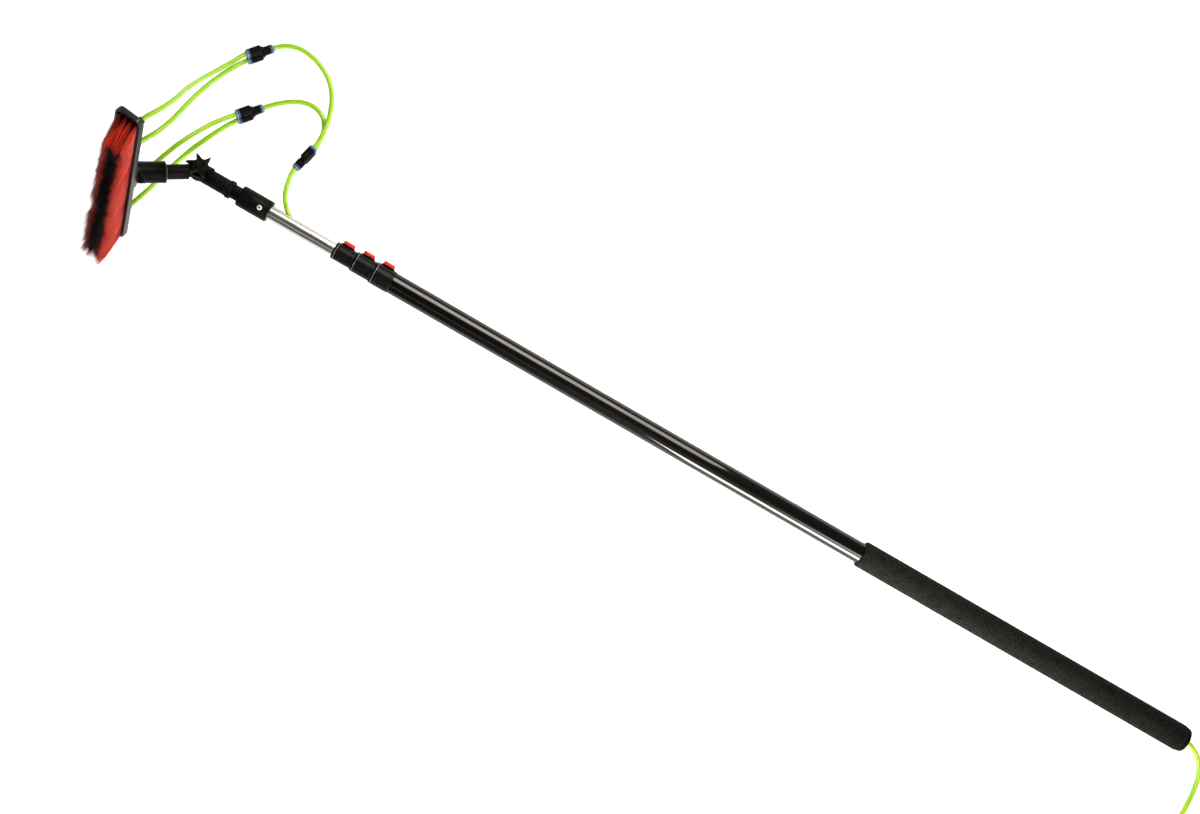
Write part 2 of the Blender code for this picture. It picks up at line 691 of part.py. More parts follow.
RISER = [
    (-0.690, 0.0925, 0.0813), (-0.695, 0.0930, 0.0815), (-0.700, 0.0945, 0.0818), (-0.706, 0.0970, 0.0820),
    (-0.713, 0.1015, 0.0820), (-0.720, 0.1070, 0.0810), (-0.727, 0.1130, 0.0785), (-0.734, 0.1200, 0.0740),
    (-0.740, 0.1280, 0.0675), (-0.745, 0.1370, 0.0590), (-0.749, 0.1460, 0.0500),
]
HOSE_A = [
    (-0.745, 0.244, 0.0163), (-0.748, 0.260, 0.0129), (-0.751, 0.276, 0.0098), (-0.757, 0.291, 0.0073),
    (-0.764, 0.306, 0.0057), (-0.774, 0.319, 0.0050), (-0.786, 0.330, 0.0048), (-0.800, 0.338, 0.0050),
    (-0.815, 0.344, 0.0052), (-0.831, 0.347, 0.0054), (-0.847, 0.348, 0.0058), (-0.863, 0.344, 0.0064),
]
HOSE_B = [
    (-0.746, 0.243, 0.0052), (-0.751, 0.259, 0.0050), (-0.761, 0.271, 0.0049), (-0.775, 0.277, 0.0049),
    (-0.790, 0.278, 0.0050), (-0.806, 0.273, 0.0052), (-0.821, 0.264, 0.0055), (-0.834, 0.253, 0.0062),
]
HOSE_C = [
    (-0.922, 0.275, 0.0345), (-0.927, 0.262, 0.0450), (-0.931, 0.250, 0.0572), (-0.933, 0.239, 0.0712),
    (-0.935, 0.230, 0.0865), (-0.936, 0.220, 0.1020), (-0.937, 0.210, 0.1174), (-0.937, 0.202, 0.1328),
    (-0.937, 0.192, 0.1479), (-0.936, 0.183, 0.1626), (-0.935, 0.174, 0.1753), (-0.936, 0.164, 0.1882),
    (-0.937, 0.153, 0.2004), (-0.941, 0.141, 0.2109),
]
HOSE_D = [
    (-0.920, 0.267, 0.0244), (-0.925, 0.254, 0.0335), (-0.928, 0.241, 0.0436), (-0.931, 0.229, 0.0546),
    (-0.932, 0.218, 0.0661), (-0.933, 0.206, 0.0778), (-0.934, 0.194, 0.0894), (-0.934, 0.183, 0.1009),
    (-0.934, 0.171, 0.1123), (-0.934, 0.159, 0.1234), (-0.934, 0.146, 0.1342), (-0.935, 0.134, 0.1451),
    (-0.937, 0.121, 0.1553), (-0.941, 0.108, 0.1628),
]
HOSE_E = [
    (-0.894, 0.182, 0.0358), (-0.903, 0.167, 0.0432), (-0.910, 0.152, 0.0502), (-0.917, 0.137, 0.0567),
    (-0.923, 0.122, 0.0624), (-0.929, 0.106, 0.0670), (-0.934, 0.090, 0.0704), (-0.939, 0.074, 0.0728),
    (-0.943, 0.058, 0.0742), (-0.947, 0.043, 0.0748),
]
HOSE_F = [
    (-0.888, 0.174, 0.0192), (-0.895, 0.159, 0.0221), (-0.902, 0.143, 0.0248), (-0.909, 0.127, 0.0270),
    (-0.915, 0.111, 0.0287), (-0.920, 0.095, 0.0298), (-0.925, 0.079, 0.0304), (-0.930, 0.062, 0.0305),
    (-0.934, 0.046, 0.0301), (-0.939, 0.029, 0.0293), (-0.945, 0.013, 0.0278),
]
TAIL = [
    (0.977, 0.0930, 0.0228), (0.981, 0.0930, 0.0226), (0.985, 0.0930, 0.0225), (0.990, 0.0929, 0.0222),
    (0.996, 0.0920, 0.0217), (1.005, 0.0892, 0.0200), (1.016, 0.0840, 0.0172), (1.027, 0.0760, 0.0137),
    (1.036, 0.0660, 0.0104), (1.043, 0.0540, 0.0075), (1.048, 0.0400, 0.0056), (1.051, 0.0240, 0.0046),
    (1.0527, 0.0060, 0.0043), (1.053, -0.0140, 0.0042), (1.053, -0.0360, 0.0042), (1.053, -0.0580, 0.0043),
    (1.053, -0.0800, 0.0046), (1.053, -0.1020, 0.0050), (1.053, -0.1258, 0.0055),
]


def make_hoses():
    inner = [world(POLE) @ Vector((0, 0, at)) for at in (0.012, 0.4, 0.8, 1.2, 1.6, 1.665)]
    hose("inner_hose", inner)
    hose("tail_hose", smooth([Vector(p) for p in TAIL]))
    into_third = leaving(port(3, 0), PORT_DEPTH)[::-1]
    hose("riser_hose", smooth([Vector(p) for p in RISER] + into_third))
    hose("hose_a", smooth(joined_route(port(3, 1), HOSE_A, port(1, 0))))
    hose("hose_b", smooth(joined_route(port(3, -1), HOSE_B, port(2, 0))))
    jet_depth = 0.009
    branches = (("hose_c", 1, -1, HOSE_C, 1), ("hose_d", 1, 1, HOSE_D, 2))
    branches += (("hose_e", 2, -1, HOSE_E, 3), ("hose_f", 2, 1, HOSE_F, 4))
    for name, connector, side, middle, jet in branches:
        route = joined_route(port(connector, side), middle, jet_port(jet), PORT_DEPTH, jet_depth)
        hose(name, smooth(route))


def make_tail_end():
    """The rest of the tail lies in a coil on the floor, tied, with its tap connector on top."""
    centre = (COIL_CENTRE.x, COIL_CENTRE.y, COIL_BOTTOM)
    round_edge = 0.004
    high = COIL_HEIGHT
    profile = [(COIL_INNER, high - round_edge), (COIL_INNER + round_edge, high)]
    profile += [(COIL_OUTER - round_edge, high), (COIL_OUTER, high - round_edge)]
    profile += [(COIL_OUTER, round_edge), (COIL_OUTER - round_edge, 0)]
    profile += [(COIL_INNER + round_edge, 0), (COIL_INNER, round_edge)]
    coil = turned("tail_coil", profile, LIME, 40)
    place(shade(coil), None, centre)

    # a flat strap round the coil, on its -X side
    strap, middle = 0.0010, -(COIL_INNER + COIL_OUTER) / 2
    half = (COIL_OUTER - COIL_INNER) / 2 + 5 * GAP
    tie = box("coil_tie", (middle - half - strap, -0.009, -strap - GAP),
              (middle + half + strap, 0.009, high + GAP + strap), STRAP)
    window = box("tie_window", (middle - half, -0.02, -GAP), (middle + half, 0.02, high + GAP))
    for shape in (tie, window):
        place(shape, None, centre)
    cut(tie, window)

    # the connector points to -X on the coil's -Y side: a nut on the hose, a ribbed body and a male nose
    bore = HOSE_RADIUS + HOSE_CLEARANCE
    profile = [(0.0025, 0.052), (0.0062, 0.052), (0.0070, 0.050), (0.0070, 0.044), (0.0058, 0.044)]
    profile += [(0.0058, 0.041), (0.0078, 0.041), (0.0078, 0.034), (0.0105, 0.032), (0.0105, 0.018)]
    profile += [(0.0085, 0.016), (0.0096, 0.014), (0.0096, 0.001), (0.0088, 0), (bore, 0), (bore, 0.014)]
    profile += [(0.0025, 0.014)]
    connector = turned("tap_connector", profile, BLACK_PLASTIC, 20)
    radius = (COIL_INNER + COIL_OUTER) / 2
    top = COIL_BOTTOM + COIL_HEIGHT + GAP + 0.0105
    along_minus_x = Matrix.Rotation(math.radians(-90), 4, "Y")
    place(shade(connector), None, (COIL_CENTRE.x + 0.024, COIL_CENTRE.y - radius, top), along_minus_x)


def build():
    make_tubes()
    make_bushes()
    for values in COLLARS:
        make_collar(*values)
    make_grip()
    make_socket()
    make_hinge()
    make_brush()
    make_jets()
    for number in CONNECTORS:
        make_connector(number)
    make_hoses()
    make_tail_end()


build()
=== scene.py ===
"""The looks of a water-fed window cleaning pole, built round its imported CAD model.

Pieces are made in the frames of the model's own joints. The pole frame is at the butt end, with Z along the
pole to the brush, X up and Y to the side. The hinge frame has X on the hinge's axis, and the upper arm's
frame is the same one turned by the head's tilt. The brush frame has X along the brush, Z to the bristles and
-Y away from the pole. All lengths are in metres.
"""

import bmesh
import bpy
import json
import math
import numpy as np
from mathutils import Matrix, Vector


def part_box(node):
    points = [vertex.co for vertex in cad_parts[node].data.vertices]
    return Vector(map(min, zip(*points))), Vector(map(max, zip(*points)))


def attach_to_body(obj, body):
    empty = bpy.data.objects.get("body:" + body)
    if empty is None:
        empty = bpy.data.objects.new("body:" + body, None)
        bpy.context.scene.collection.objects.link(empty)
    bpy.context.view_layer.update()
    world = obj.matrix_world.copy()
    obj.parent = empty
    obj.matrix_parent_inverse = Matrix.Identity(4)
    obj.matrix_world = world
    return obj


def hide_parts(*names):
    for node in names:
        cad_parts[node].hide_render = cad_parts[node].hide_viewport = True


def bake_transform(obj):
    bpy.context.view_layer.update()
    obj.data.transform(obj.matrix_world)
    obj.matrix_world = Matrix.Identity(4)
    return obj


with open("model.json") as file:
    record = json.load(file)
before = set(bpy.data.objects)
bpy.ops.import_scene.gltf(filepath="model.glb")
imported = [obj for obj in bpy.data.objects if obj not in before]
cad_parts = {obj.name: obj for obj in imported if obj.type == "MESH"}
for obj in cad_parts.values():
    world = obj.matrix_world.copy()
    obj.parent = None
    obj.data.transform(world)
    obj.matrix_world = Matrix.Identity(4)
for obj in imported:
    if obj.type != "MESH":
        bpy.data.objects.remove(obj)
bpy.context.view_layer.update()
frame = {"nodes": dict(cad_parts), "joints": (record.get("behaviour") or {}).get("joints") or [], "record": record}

# ---- frames ----
# clearance between parts that fit in one another
GAP = 0.0003
HEAD_TILT = math.radians(37.8)
HEAD_TWIST = math.radians(2.1)
SOCKET_ANGLE = math.radians(43.4)
ARM_REACH = 0.1153
JOINTS = {joint["name"]: joint for joint in frame["joints"]}
BUTT_MOUNT = next(m for m in frame["record"]["mounts"] if m["name"] == "butt_end")
BUTT_MOUNT_OFFSET = 0.012


def columns(x, y, z, origin):
    """The frame with these axes and this origin."""
    return Matrix.Translation(origin) @ Matrix((x, y, z)).transposed().to_4x4()


def turn(degrees, axis):
    return Matrix.Rotation(math.radians(degrees), 4, axis)


def shift(x, y, z):
    return Matrix.Translation((x, y, z))


def placed(name, data, matrix):
    """An object made of its data, in a frame."""
    made = bpy.data.objects.new(name, data)
    bpy.context.scene.collection.objects.link(made)
    made.matrix_world = matrix
    return made


ALONG = Vector(JOINTS["top_slide"]["axis"]).normalized()
SIDE = Vector((0, 1, 0))
UP = SIDE.cross(ALONG)
BUTT = Vector(BUTT_MOUNT["pos_m"]) - UP * BUTT_MOUNT_OFFSET
POLE = columns(UP, SIDE, ALONG, BUTT)
HINGE_POINT = Vector(JOINTS["head_tilt"]["pos_m"])
HINGE_AXIS = Vector(JOINTS["head_tilt"]["axis"]).normalized()
HINGE = columns(HINGE_AXIS, ALONG.cross(HINGE_AXIS), ALONG, HINGE_POINT)
ARM = HINGE @ Matrix.Rotation(HEAD_TILT, 4, "X")
HEAD_TURN = Matrix.Rotation(HEAD_TWIST, 4, "Z") @ Matrix.Rotation(SOCKET_ANGLE, 4, "X")
BRUSH = ARM @ shift(0, 0, ARM_REACH) @ HEAD_TURN
Z_TO_X = turn(90, "Y")
Z_TO_Y = turn(-90, "X")
NO_TURN = Matrix.Identity(4)


# ---- camera ----
LENS_MM = 50
SENSOR_MM = 36
CAMERA_AT = Vector((-0.2702, 0.0874, 2.7391))
CAMERA_RIGHT = Vector((0.8651, 0.4998, 0.0426))
CAMERA_BACK = Vector((-0.0492, 0.0, 0.9988)).normalized()


def make_camera():
    data = bpy.data.cameras.new("camera")
    data.lens = LENS_MM
    data.sensor_width = SENSOR_MM
    up = CAMERA_BACK.cross(CAMERA_RIGHT).normalized()
    frame_of_view = columns(up.cross(CAMERA_BACK), up, CAMERA_BACK, CAMERA_AT)
    bpy.context.scene.camera = placed("camera", data, frame_of_view)


make_camera()


# ---- materials ----
def node(tree, kind, settings=(), **inputs):
    """A shader node. An input is named, or is _ and its number, and is a value or a socket to link."""
    made = tree.nodes.new("ShaderNode" + kind)
    for key, value in dict(settings).items():
        setattr(made, key, value)
    for key, value in inputs.items():
        target = made.inputs[int(key[1:]) if key[1:].isdigit() else key.replace("_", " ")]
        if isinstance(value, bpy.types.NodeSocket):
            tree.links.new(value, target)
        else:
            target.default_value = value
    return made


def ramp(tree, factor, *stops):
    """A colour ramp with (place, colour) stops."""
    made = node(tree, "ValToRGB", Fac=factor)
    band = made.color_ramp
    while len(band.elements) < len(stops):
        band.elements.new(1.0)
    for element, (place, colour) in zip(band.elements, stops):
        element.position = place
        element.color = (*colour, 1.0)
    return made.outputs["Color"]


def mixed(tree, factor, under, over):
    """A colour, covered with another one as far as factor says."""
    return node(tree, "Mix", {"data_type": "RGBA"}, _0=factor, _6=under, _7=over).outputs[2]


def surface(name, tones, roughness, grain, depth, stretch=(1, 1, 1), patch=30, metallic=0.0,
            edge=None, coat=0.0, specular=0.5, subsurface=0.0, speckle=None):
    """A material: two tones in soft patches, a fine grain that bumps and roughens it, and lighter edges that are
    partly wear and partly a painted highlight.

    grain and patch are noise scales per metre, depth is the bump's depth, stretch scales the coordinates,
    edge is the colour of exposed edges, lightened as wear and as a painted highlight, and speckle is
    (colour, scale, share) for small flecks.
    """
    material = bpy.data.materials.new(name)
    material.use_nodes = True
    tree = material.node_tree
    shader = tree.nodes["Principled BSDF"]
    place = node(tree, "TexCoord").outputs["Object"]
    stretched = node(tree, "Mapping", Vector=place, Scale=stretch).outputs["Vector"]
    patches = node(tree, "TexNoise", Vector=stretched, Scale=patch, Detail=3.0).outputs["Fac"]
    fine = node(tree, "TexNoise", Vector=stretched, Scale=grain, Detail=4.0).outputs["Fac"]
    colour = ramp(tree, patches, (0.35, tones[0]), (0.65, tones[1]))
    if speckle:
        fleck, scale, share = speckle
        dots = node(tree, "TexNoise", Vector=stretched, Scale=scale, Detail=1.0).outputs["Fac"]
        mask = ramp(tree, dots, (share, (0, 0, 0)), (share + 0.06, (1, 1, 1)))
        colour = mixed(tree, mask, colour, (*fleck, 1))
    # wear and painted highlight: edges that the geometry's pointiness finds sharp are lightened to the edge colour
    if edge:
        sharp = node(tree, "NewGeometry").outputs["Pointiness"]
        mask = ramp(tree, sharp, (0.52, (0, 0, 0)), (0.62, (1, 1, 1)))
        colour = mixed(tree, mask, colour, (*edge, 1))
    tree.links.new(colour, shader.inputs["Base Color"])
    low, high = roughness
    rough = node(tree, "MapRange", Value=fine, _1=0.3, _2=0.7, _3=low, _4=high).outputs[0]
    tree.links.new(rough, shader.inputs["Roughness"])
    bump = node(tree, "Bump", Height=fine, Distance=depth, Strength=1.0)
    tree.links.new(bump.outputs["Normal"], shader.inputs["Normal"])
    shader.inputs["Metallic"].default_value = metallic
    shader.inputs["Specular IOR Level"].default_value = specular
    shader.inputs["Coat Weight"].default_value = coat
    shader.inputs["Coat Roughness"].default_value = 0.04
    shader.inputs["Subsurface Weight"].default_value = subsurface
    shader.inputs["Subsurface Radius"].default_value = (0.3, 1.0, 0.1)
    shader.inputs["Subsurface Scale"].default_value = 0.004
    return material


def bristle_material(name, dark, light, root):
    """Bristles that differ from strand to strand, with painted shade that darkens them towards their roots and
    towards the brush's +Y side.
    """
    material = bpy.data.materials.new(name)
    material.use_nodes = True
    tree = material.node_tree
    shader = tree.nodes["Principled BSDF"]
    strand = node(tree, "NewGeometry").outputs["Random Per Island"]
    colour = ramp(tree, strand, (0.0, dark), (1.0, light))
    place = node(tree, "SeparateXYZ", Vector=node(tree, "TexCoord").outputs["Object"])
    # painted shade: towards the roots, where the tufts crowd, the strands fade to the root colour
    height = node(tree, "MapRange", Value=place.outputs["Z"], _1=0.008, _2=0.030, _3=0.0, _4=1.0).outputs[0]
    # painted shade: the brush's +Y side, away from the lights, fades to the root colour too
    far = node(tree, "MapRange", Value=place.outputs["Y"], _1=-0.004, _2=0.004, _3=0.0, _4=0.75).outputs[0]
    shaded = mixed(tree, far, colour, (*root, 1))
    tree.links.new(mixed(tree, height, (*root, 1), shaded), shader.inputs["Base Color"])
    rough = node(tree, "MapRange", Value=strand, _1=0.0, _2=1.0, _3=0.35, _4=0.55).outputs[0]
    tree.links.new(rough, shader.inputs["Roughness"])
    return material


# a grain drawn out along the pole
DRAWN = (1, 1, 0.02)
# the edge colours below are lighter than their tones: wear and a painted highlight on edges
BLACK_TUBE = surface("black_tube", ((0.0012, 0.0012, 0.0012), (0.0025, 0.0022, 0.0020)), (0.30, 0.42),
                     900, 0.00001, DRAWN, 60, coat=0.5, specular=0.02, edge=(0.004, 0.004, 0.004))
SILVER = surface("drawn_aluminium", ((0.50, 0.49, 0.45), (0.60, 0.59, 0.55)), (0.26, 0.32),
                 500, 0.000002, DRAWN, 200, metallic=1.0)
STEEL = surface("zinc_steel", ((0.60, 0.60, 0.58), (0.75, 0.75, 0.73)), (0.22, 0.38), 900, 0.00003,
                patch=150, metallic=1.0)
BLACK = surface("moulded_black", ((0.0018, 0.0018, 0.0016), (0.0034, 0.0033, 0.0030)), (0.34, 0.48), 1800,
                0.00008, patch=60, edge=(0.008, 0.008, 0.008), specular=0.06)
SATIN_BLACK = surface("satin_black", ((0.0015, 0.0015, 0.0015), (0.0030, 0.0030, 0.0030)), (0.26, 0.36), 1500,
                      0.00004, patch=70, edge=(0.012, 0.012, 0.012), specular=0.09)
RED = surface("red_button", ((0.55, 0.010, 0.008), (0.68, 0.018, 0.012)), (0.28, 0.40), 1200, 0.00004,
              patch=120, edge=(0.75, 0.05, 0.04))
NYLON = surface("nylon", ((0.70, 0.69, 0.64), (0.78, 0.77, 0.72)), (0.40, 0.55), 900, 0.00005, patch=80)
FOAM = surface("foam", ((0.0035, 0.0034, 0.0031), (0.0070, 0.0068, 0.0062)), (0.80, 0.95), 1300, 0.0006,
               patch=60, specular=0.05, speckle=((0.032, 0.031, 0.028), 900, 0.57))
LIME = surface("lime_hose", ((0.32, 0.62, 0.010), (0.38, 0.68, 0.014)), (0.25, 0.35), 500, 0.00003,
               patch=25, coat=0.2, subsurface=0.15)
BLUE = surface("blue_collet", ((0.020, 0.070, 0.24), (0.035, 0.10, 0.30)), (0.30, 0.42), 900, 0.00004,
               patch=150)
PALE = surface("pale_ring", ((0.62, 0.70, 0.82), (0.72, 0.78, 0.88)), (0.30, 0.42), 900, 0.00004,
               patch=150)
STRAP = surface("woven_strap", ((0.008, 0.008, 0.008), (0.020, 0.020, 0.020)), (0.75, 0.90), 2500,
                0.0003, patch=900)
# painted highlight: a pale grey for thin rings that stand in for the glints on the collars' front grooves and the
# arm socket's rear edge
PAINTED_RIM_HIGHLIGHT = surface("painted_rim_highlight", ((0.30, 0.30, 0.30), (0.40, 0.40, 0.39)), (0.30, 0.42), 900, 0.00003,
                    patch=150)
SCREW = surface("screw_zinc", ((0.80, 0.80, 0.79), (0.92, 0.92, 0.90)), (0.35, 0.50), 900, 0.00003,
                patch=200, metallic=0.25)
STOCK_BLACK = surface("stock_black", ((0.006, 0.006, 0.007), (0.011, 0.011, 0.012)), (0.30, 0.42), 1200,
                      0.00006, patch=60, edge=(0.05, 0.05, 0.05))
# the last colour of each is the painted shade at the roots and on the brush's +Y side
RED_BRISTLES = bristle_material("red_bristles", (0.34, 0.008, 0.004), (0.95, 0.070, 0.026),
                                (0.12, 0.004, 0.003))
BLACK_BRISTLES = bristle_material("black_bristles", (0.003, 0.003, 0.003), (0.010, 0.009, 0.009),
                                  (0.002, 0.002, 0.002))


# ---- shapes ----
def angles(steps):
    return [2 * math.pi * step / steps for step in range(steps)]


def circle(radius, steps=72):
    return [(radius * math.cos(a), radius * math.sin(a)) for a in angles(steps)]


def rounded_rectangle(length, width, radius, steps=8):
    """A rectangle with round corners, long side along X."""
    points = []
    for corner in range(4):
        centre_x = (length / 2 - radius) * (1 if corner in (0, 3) else -1)
        centre_y = (width / 2 - radius) * (1 if corner < 2 else -1)
        for step in range(steps + 1):
            angle = math.pi / 2 * (corner + step / steps)
            points.append((centre_x + radius * math.cos(angle), centre_y + radius * math.sin(angle)))
    return points


def toothed(root, tip, count, sharpness=1.0, steps=8):
    """A round outline with teeth."""
    points = []
    for angle in angles(count * steps):
        wave = (0.5 + 0.5 * math.cos(count * angle)) ** sharpness
        radius = root + (tip - root) * wave
        points.append((radius * math.cos(angle), radius * math.sin(angle)))
    return points


def skin(shape, rows, closed=False):
    """Adds the faces between rows of a bmesh's points, capped, or closed from the last row to the first."""
    pairs = list(zip(rows, rows[1:])) + ([(rows[-1], rows[0])] if closed else [])
    for low, high in pairs:
        for a, b, c, d in zip(low, low[1:] + low[:1], high[1:] + high[:1], high):
            shape.faces.new((a, b, c, d))
    if not closed:
        shape.faces.new(rows[0][::-1])
        shape.faces.new(rows[-1])


def loft(shape, rings, matrix=NO_TURN, closed=False):
    """Adds the skin over (outline, height) rings."""
    rows = [[shape.verts.new(matrix @ Vector((x, y, z))) for x, y in outline] for outline, z in rings]
    skin(shape, rows, closed)


def turned(shape, profile, matrix=NO_TURN, steps=72, closed=False):
    """Adds a turned shape; its (radius, height) profile runs bottom to top up its outer side."""
    loft(shape, [(circle(radius, steps), height) for radius, height in profile], matrix, closed)


def turned_shape(profile, matrix=NO_TURN, steps=72, closed=False):
    """A turned shape on its own."""
    shape = bmesh.new()
    turned(shape, profile, matrix, steps, closed)
    return shape


def prism(outline, low, high, matrix=NO_TURN):
    """A straight shape of an outline about Z, on its own."""
    shape = bmesh.new()
    loft(shape, [(outline, low), (outline, high)], matrix)
    return shape


def block(low, high):
    """A box between two corners, on its own."""
    (x0, y0, z0), (x1, y1, z1) = low, high
    return prism([(x0, y0), (x1, y0), (x1, y1), (x0, y1)], z0, z1)


def soften(radius, edge, low, high, steps):
    """Profile of a cylinder with rounded ends, bottom to top."""
    bottom = []
    for step in range(steps + 1):
        angle = math.pi / 2 * step / steps
        bottom.append((radius - edge * (1 - math.sin(angle)), low + edge * (1 - math.cos(angle))))
    return bottom + [(r, high + low - z) for r, z in reversed(bottom)]


def rounded_plate(shape, outline, low, high, edge, matrix=NO_TURN):
    """Adds a plate of an outline about Z, with edges rounded inwards by shrinking it towards its centre."""
    reach = max(math.hypot(x, y) for x, y in outline)
    rings = []
    for radius, height in soften(reach, edge, low, high, 4):
        scale = radius / reach
        rings.append(([(x * scale, y * scale) for x, y in outline], height))
    loft(shape, rings, matrix)


def sweep(shape, points, radius, sides=14):
    """Adds a round tube along a line of points."""
    ways = [(b - a).normalized() for a, b in zip(points, points[1:])]
    ways = [ways[0]] + [(a + b).normalized() for a, b in zip(ways, ways[1:])] + [ways[-1]]
    normal = ways[0].orthogonal().normalized()
    rows = []
    for point, way in zip(points, ways):
        normal = (normal - way * normal.dot(way)).normalized()
        other = way.cross(normal)
        row = [point + (normal * math.cos(a) + other * math.sin(a)) * radius for a in angles(sides)]
        rows.append([shape.verts.new(place) for place in row])
    skin(shape, rows)


def smooth(mesh, sharp):
    """Smooth shading, but for edges sharper than so many degrees."""
    mesh.shade_smooth()
    mesh.set_sharp_from_angle(angle=math.radians(sharp))


def mesh_of(name, shape):
    mesh = bpy.data.meshes.new(name)
    shape.to_mesh(mesh)
    shape.free()
    return mesh


def piece(name, shape, look, body, replaces=(), matrix=NO_TURN, sharp=38):
    """A piece of the object, from a bmesh in a frame, riding on a body."""
    mesh = mesh_of(name, shape)
    mesh.materials.append(look)
    smooth(mesh, sharp)
    made = placed(name, mesh, matrix)
    if body:
        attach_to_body(made, body)
    if replaces:
        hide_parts(*replaces)
    return made


def attach(made, owner):
    """Lets a small piece follow the piece it is fixed to."""
    made.parent = owner
    made.matrix_parent_inverse = owner.matrix_world.inverted()


def carve(made, cutter, operation="DIFFERENCE", sharp=38):
    """Cuts a bmesh, given in the piece's own frame, out of a piece."""
    tool = placed("cutter", mesh_of("cutter", cutter), made.matrix_world)
    change = made.modifiers.new("carve", "BOOLEAN")
    change.operation = operation
    change.object = tool
    bpy.context.view_layer.update()
    result = bpy.data.meshes.new_from_object(made.evaluated_get(bpy.context.evaluated_depsgraph_get()))
    made.modifiers.clear()
    made.data = result
    smooth(result, sharp)
    bpy.data.objects.remove(tool)
    return made


# ---- hoses ----
HOSE_RADIUS = 0.004
# how far a hose goes straight out of a fitting
STRAIGHT = 0.008
CONNECTOR_LENGTH = 0.0456
BARREL_RADIUS = 0.0073
BARREL_OFFSET = 0.0072
PORT_DEPTH = 0.014
JET_PLACES = (0.1110, 0.0510, -0.0600, -0.1190)
JET_LENGTH = 0.018
JET_AXIS = Vector((0.5, -0.25, -0.75)).normalized()
# how far the stock's ribs and pad stand out of its back
RIB_HEIGHT = 0.008
JET_DEPTH = 0.009


def connector_matrix(centre, heading, pitch, roll):
    return Matrix.Translation(centre) @ turn(heading, "Z") @ turn(-pitch, "Y") @ turn(roll, "X")


# local +X points to the end with two ports
CONNECTORS = {
    1: connector_matrix((-0.8978, 0.3083, 0.0148), -127.1, 14, -58),
    2: connector_matrix((-0.8641, 0.2166, 0.0148), -127.1, 14, -58),
    3: connector_matrix((-0.7508, 0.1960, 0.0200), 79, -14, 90),
}

RISER = [
    (-0.690, 0.0925, 0.0813), (-0.695, 0.0930, 0.0815), (-0.700, 0.0945, 0.0818), (-0.706, 0.0970, 0.0820),
    (-0.713, 0.1015, 0.0820), (-0.720, 0.1070, 0.0810), (-0.727, 0.1130, 0.0785), (-0.734, 0.1200, 0.0740),
    (-0.740, 0.1280, 0.0675), (-0.745, 0.1370, 0.0590), (-0.749, 0.1460, 0.0500),
]
HOSE_A = [
    (-0.745, 0.244, 0.0163), (-0.748, 0.260, 0.0129), (-0.751, 0.276, 0.0098), (-0.757, 0.291, 0.0073),
    (-0.764, 0.306, 0.0057), (-0.774, 0.319, 0.0050), (-0.786, 0.330, 0.0048), (-0.800, 0.338, 0.0050),
    (-0.815, 0.344, 0.0052), (-0.831, 0.347, 0.0054), (-0.847, 0.348, 0.0058), (-0.863, 0.344, 0.0064),
]
HOSE_B = [
    (-0.746, 0.243, 0.0052), (-0.751, 0.259, 0.0050), (-0.761, 0.271, 0.0049), (-0.775, 0.277, 0.0049),
    (-0.790, 0.278, 0.0050), (-0.806, 0.273, 0.0052), (-0.821, 0.264, 0.0055), (-0.834, 0.253, 0.0062),
]
HOSE_C = [
    (-0.922, 0.275, 0.0345), (-0.927, 0.262, 0.0450), (-0.931, 0.250, 0.0572), (-0.933, 0.239, 0.0712),
    (-0.935, 0.230, 0.0865), (-0.936, 0.220, 0.1020), (-0.937, 0.210, 0.1174), (-0.937, 0.202, 0.1328),
    (-0.937, 0.192, 0.1479), (-0.936, 0.183, 0.1626), (-0.935, 0.174, 0.1753), (-0.936, 0.164, 0.1882),
    (-0.937, 0.153, 0.2004), (-0.941, 0.141, 0.2109),
]
HOSE_D = [
    (-0.920, 0.267, 0.0244), (-0.925, 0.254, 0.0335), (-0.928, 0.241, 0.0436), (-0.931, 0.229, 0.0546),
    (-0.932, 0.218, 0.0661), (-0.933, 0.206, 0.0778), (-0.934, 0.194, 0.0894), (-0.934, 0.183, 0.1009),
    (-0.934, 0.171, 0.1123), (-0.934, 0.159, 0.1234), (-0.934, 0.146, 0.1342), (-0.935, 0.134, 0.1451),
    (-0.937, 0.121, 0.1553), (-0.941, 0.108, 0.1628),
]
HOSE_E = [
    (-0.894, 0.182, 0.0358), (-0.903, 0.167, 0.0432), (-0.910, 0.152, 0.0502), (-0.917, 0.137, 0.0567),
    (-0.923, 0.122, 0.0624), (-0.929, 0.106, 0.0670), (-0.934, 0.090, 0.0704), (-0.939, 0.074, 0.0728),
    (-0.943, 0.058, 0.0742), (-0.947, 0.043, 0.0748),
]
HOSE_F = [
    (-0.888, 0.174, 0.0192), (-0.895, 0.159, 0.0221), (-0.902, 0.143, 0.0248), (-0.909, 0.127, 0.0270),
    (-0.915, 0.111, 0.0287), (-0.920, 0.095, 0.0298), (-0.925, 0.079, 0.0304), (-0.930, 0.062, 0.0305),
    (-0.934, 0.046, 0.0301), (-0.939, 0.029, 0.0293), (-0.945, 0.013, 0.0278),
]
TAIL = [
    (0.977, 0.0930, 0.0228), (0.981, 0.0930, 0.0226), (0.985, 0.0930, 0.0225), (0.990, 0.0929, 0.0222),
    (0.996, 0.0920, 0.0217), (1.005, 0.0892, 0.0200), (1.016, 0.0840, 0.0172), (1.027, 0.0760, 0.0137),
    (1.036, 0.0660, 0.0104), (1.043, 0.0540, 0.0075), (1.048, 0.0400, 0.0056), (1.051, 0.0240, 0.0046),
    (1.0527, 0.0060, 0.0043), (1.053, -0.0140, 0.0042), (1.053, -0.0360, 0.0042), (1.053, -0.0580, 0.0043),
    (1.053, -0.0800, 0.0046), (1.053, -0.1020, 0.0050), (1.053, -0.1258, 0.0055),
]
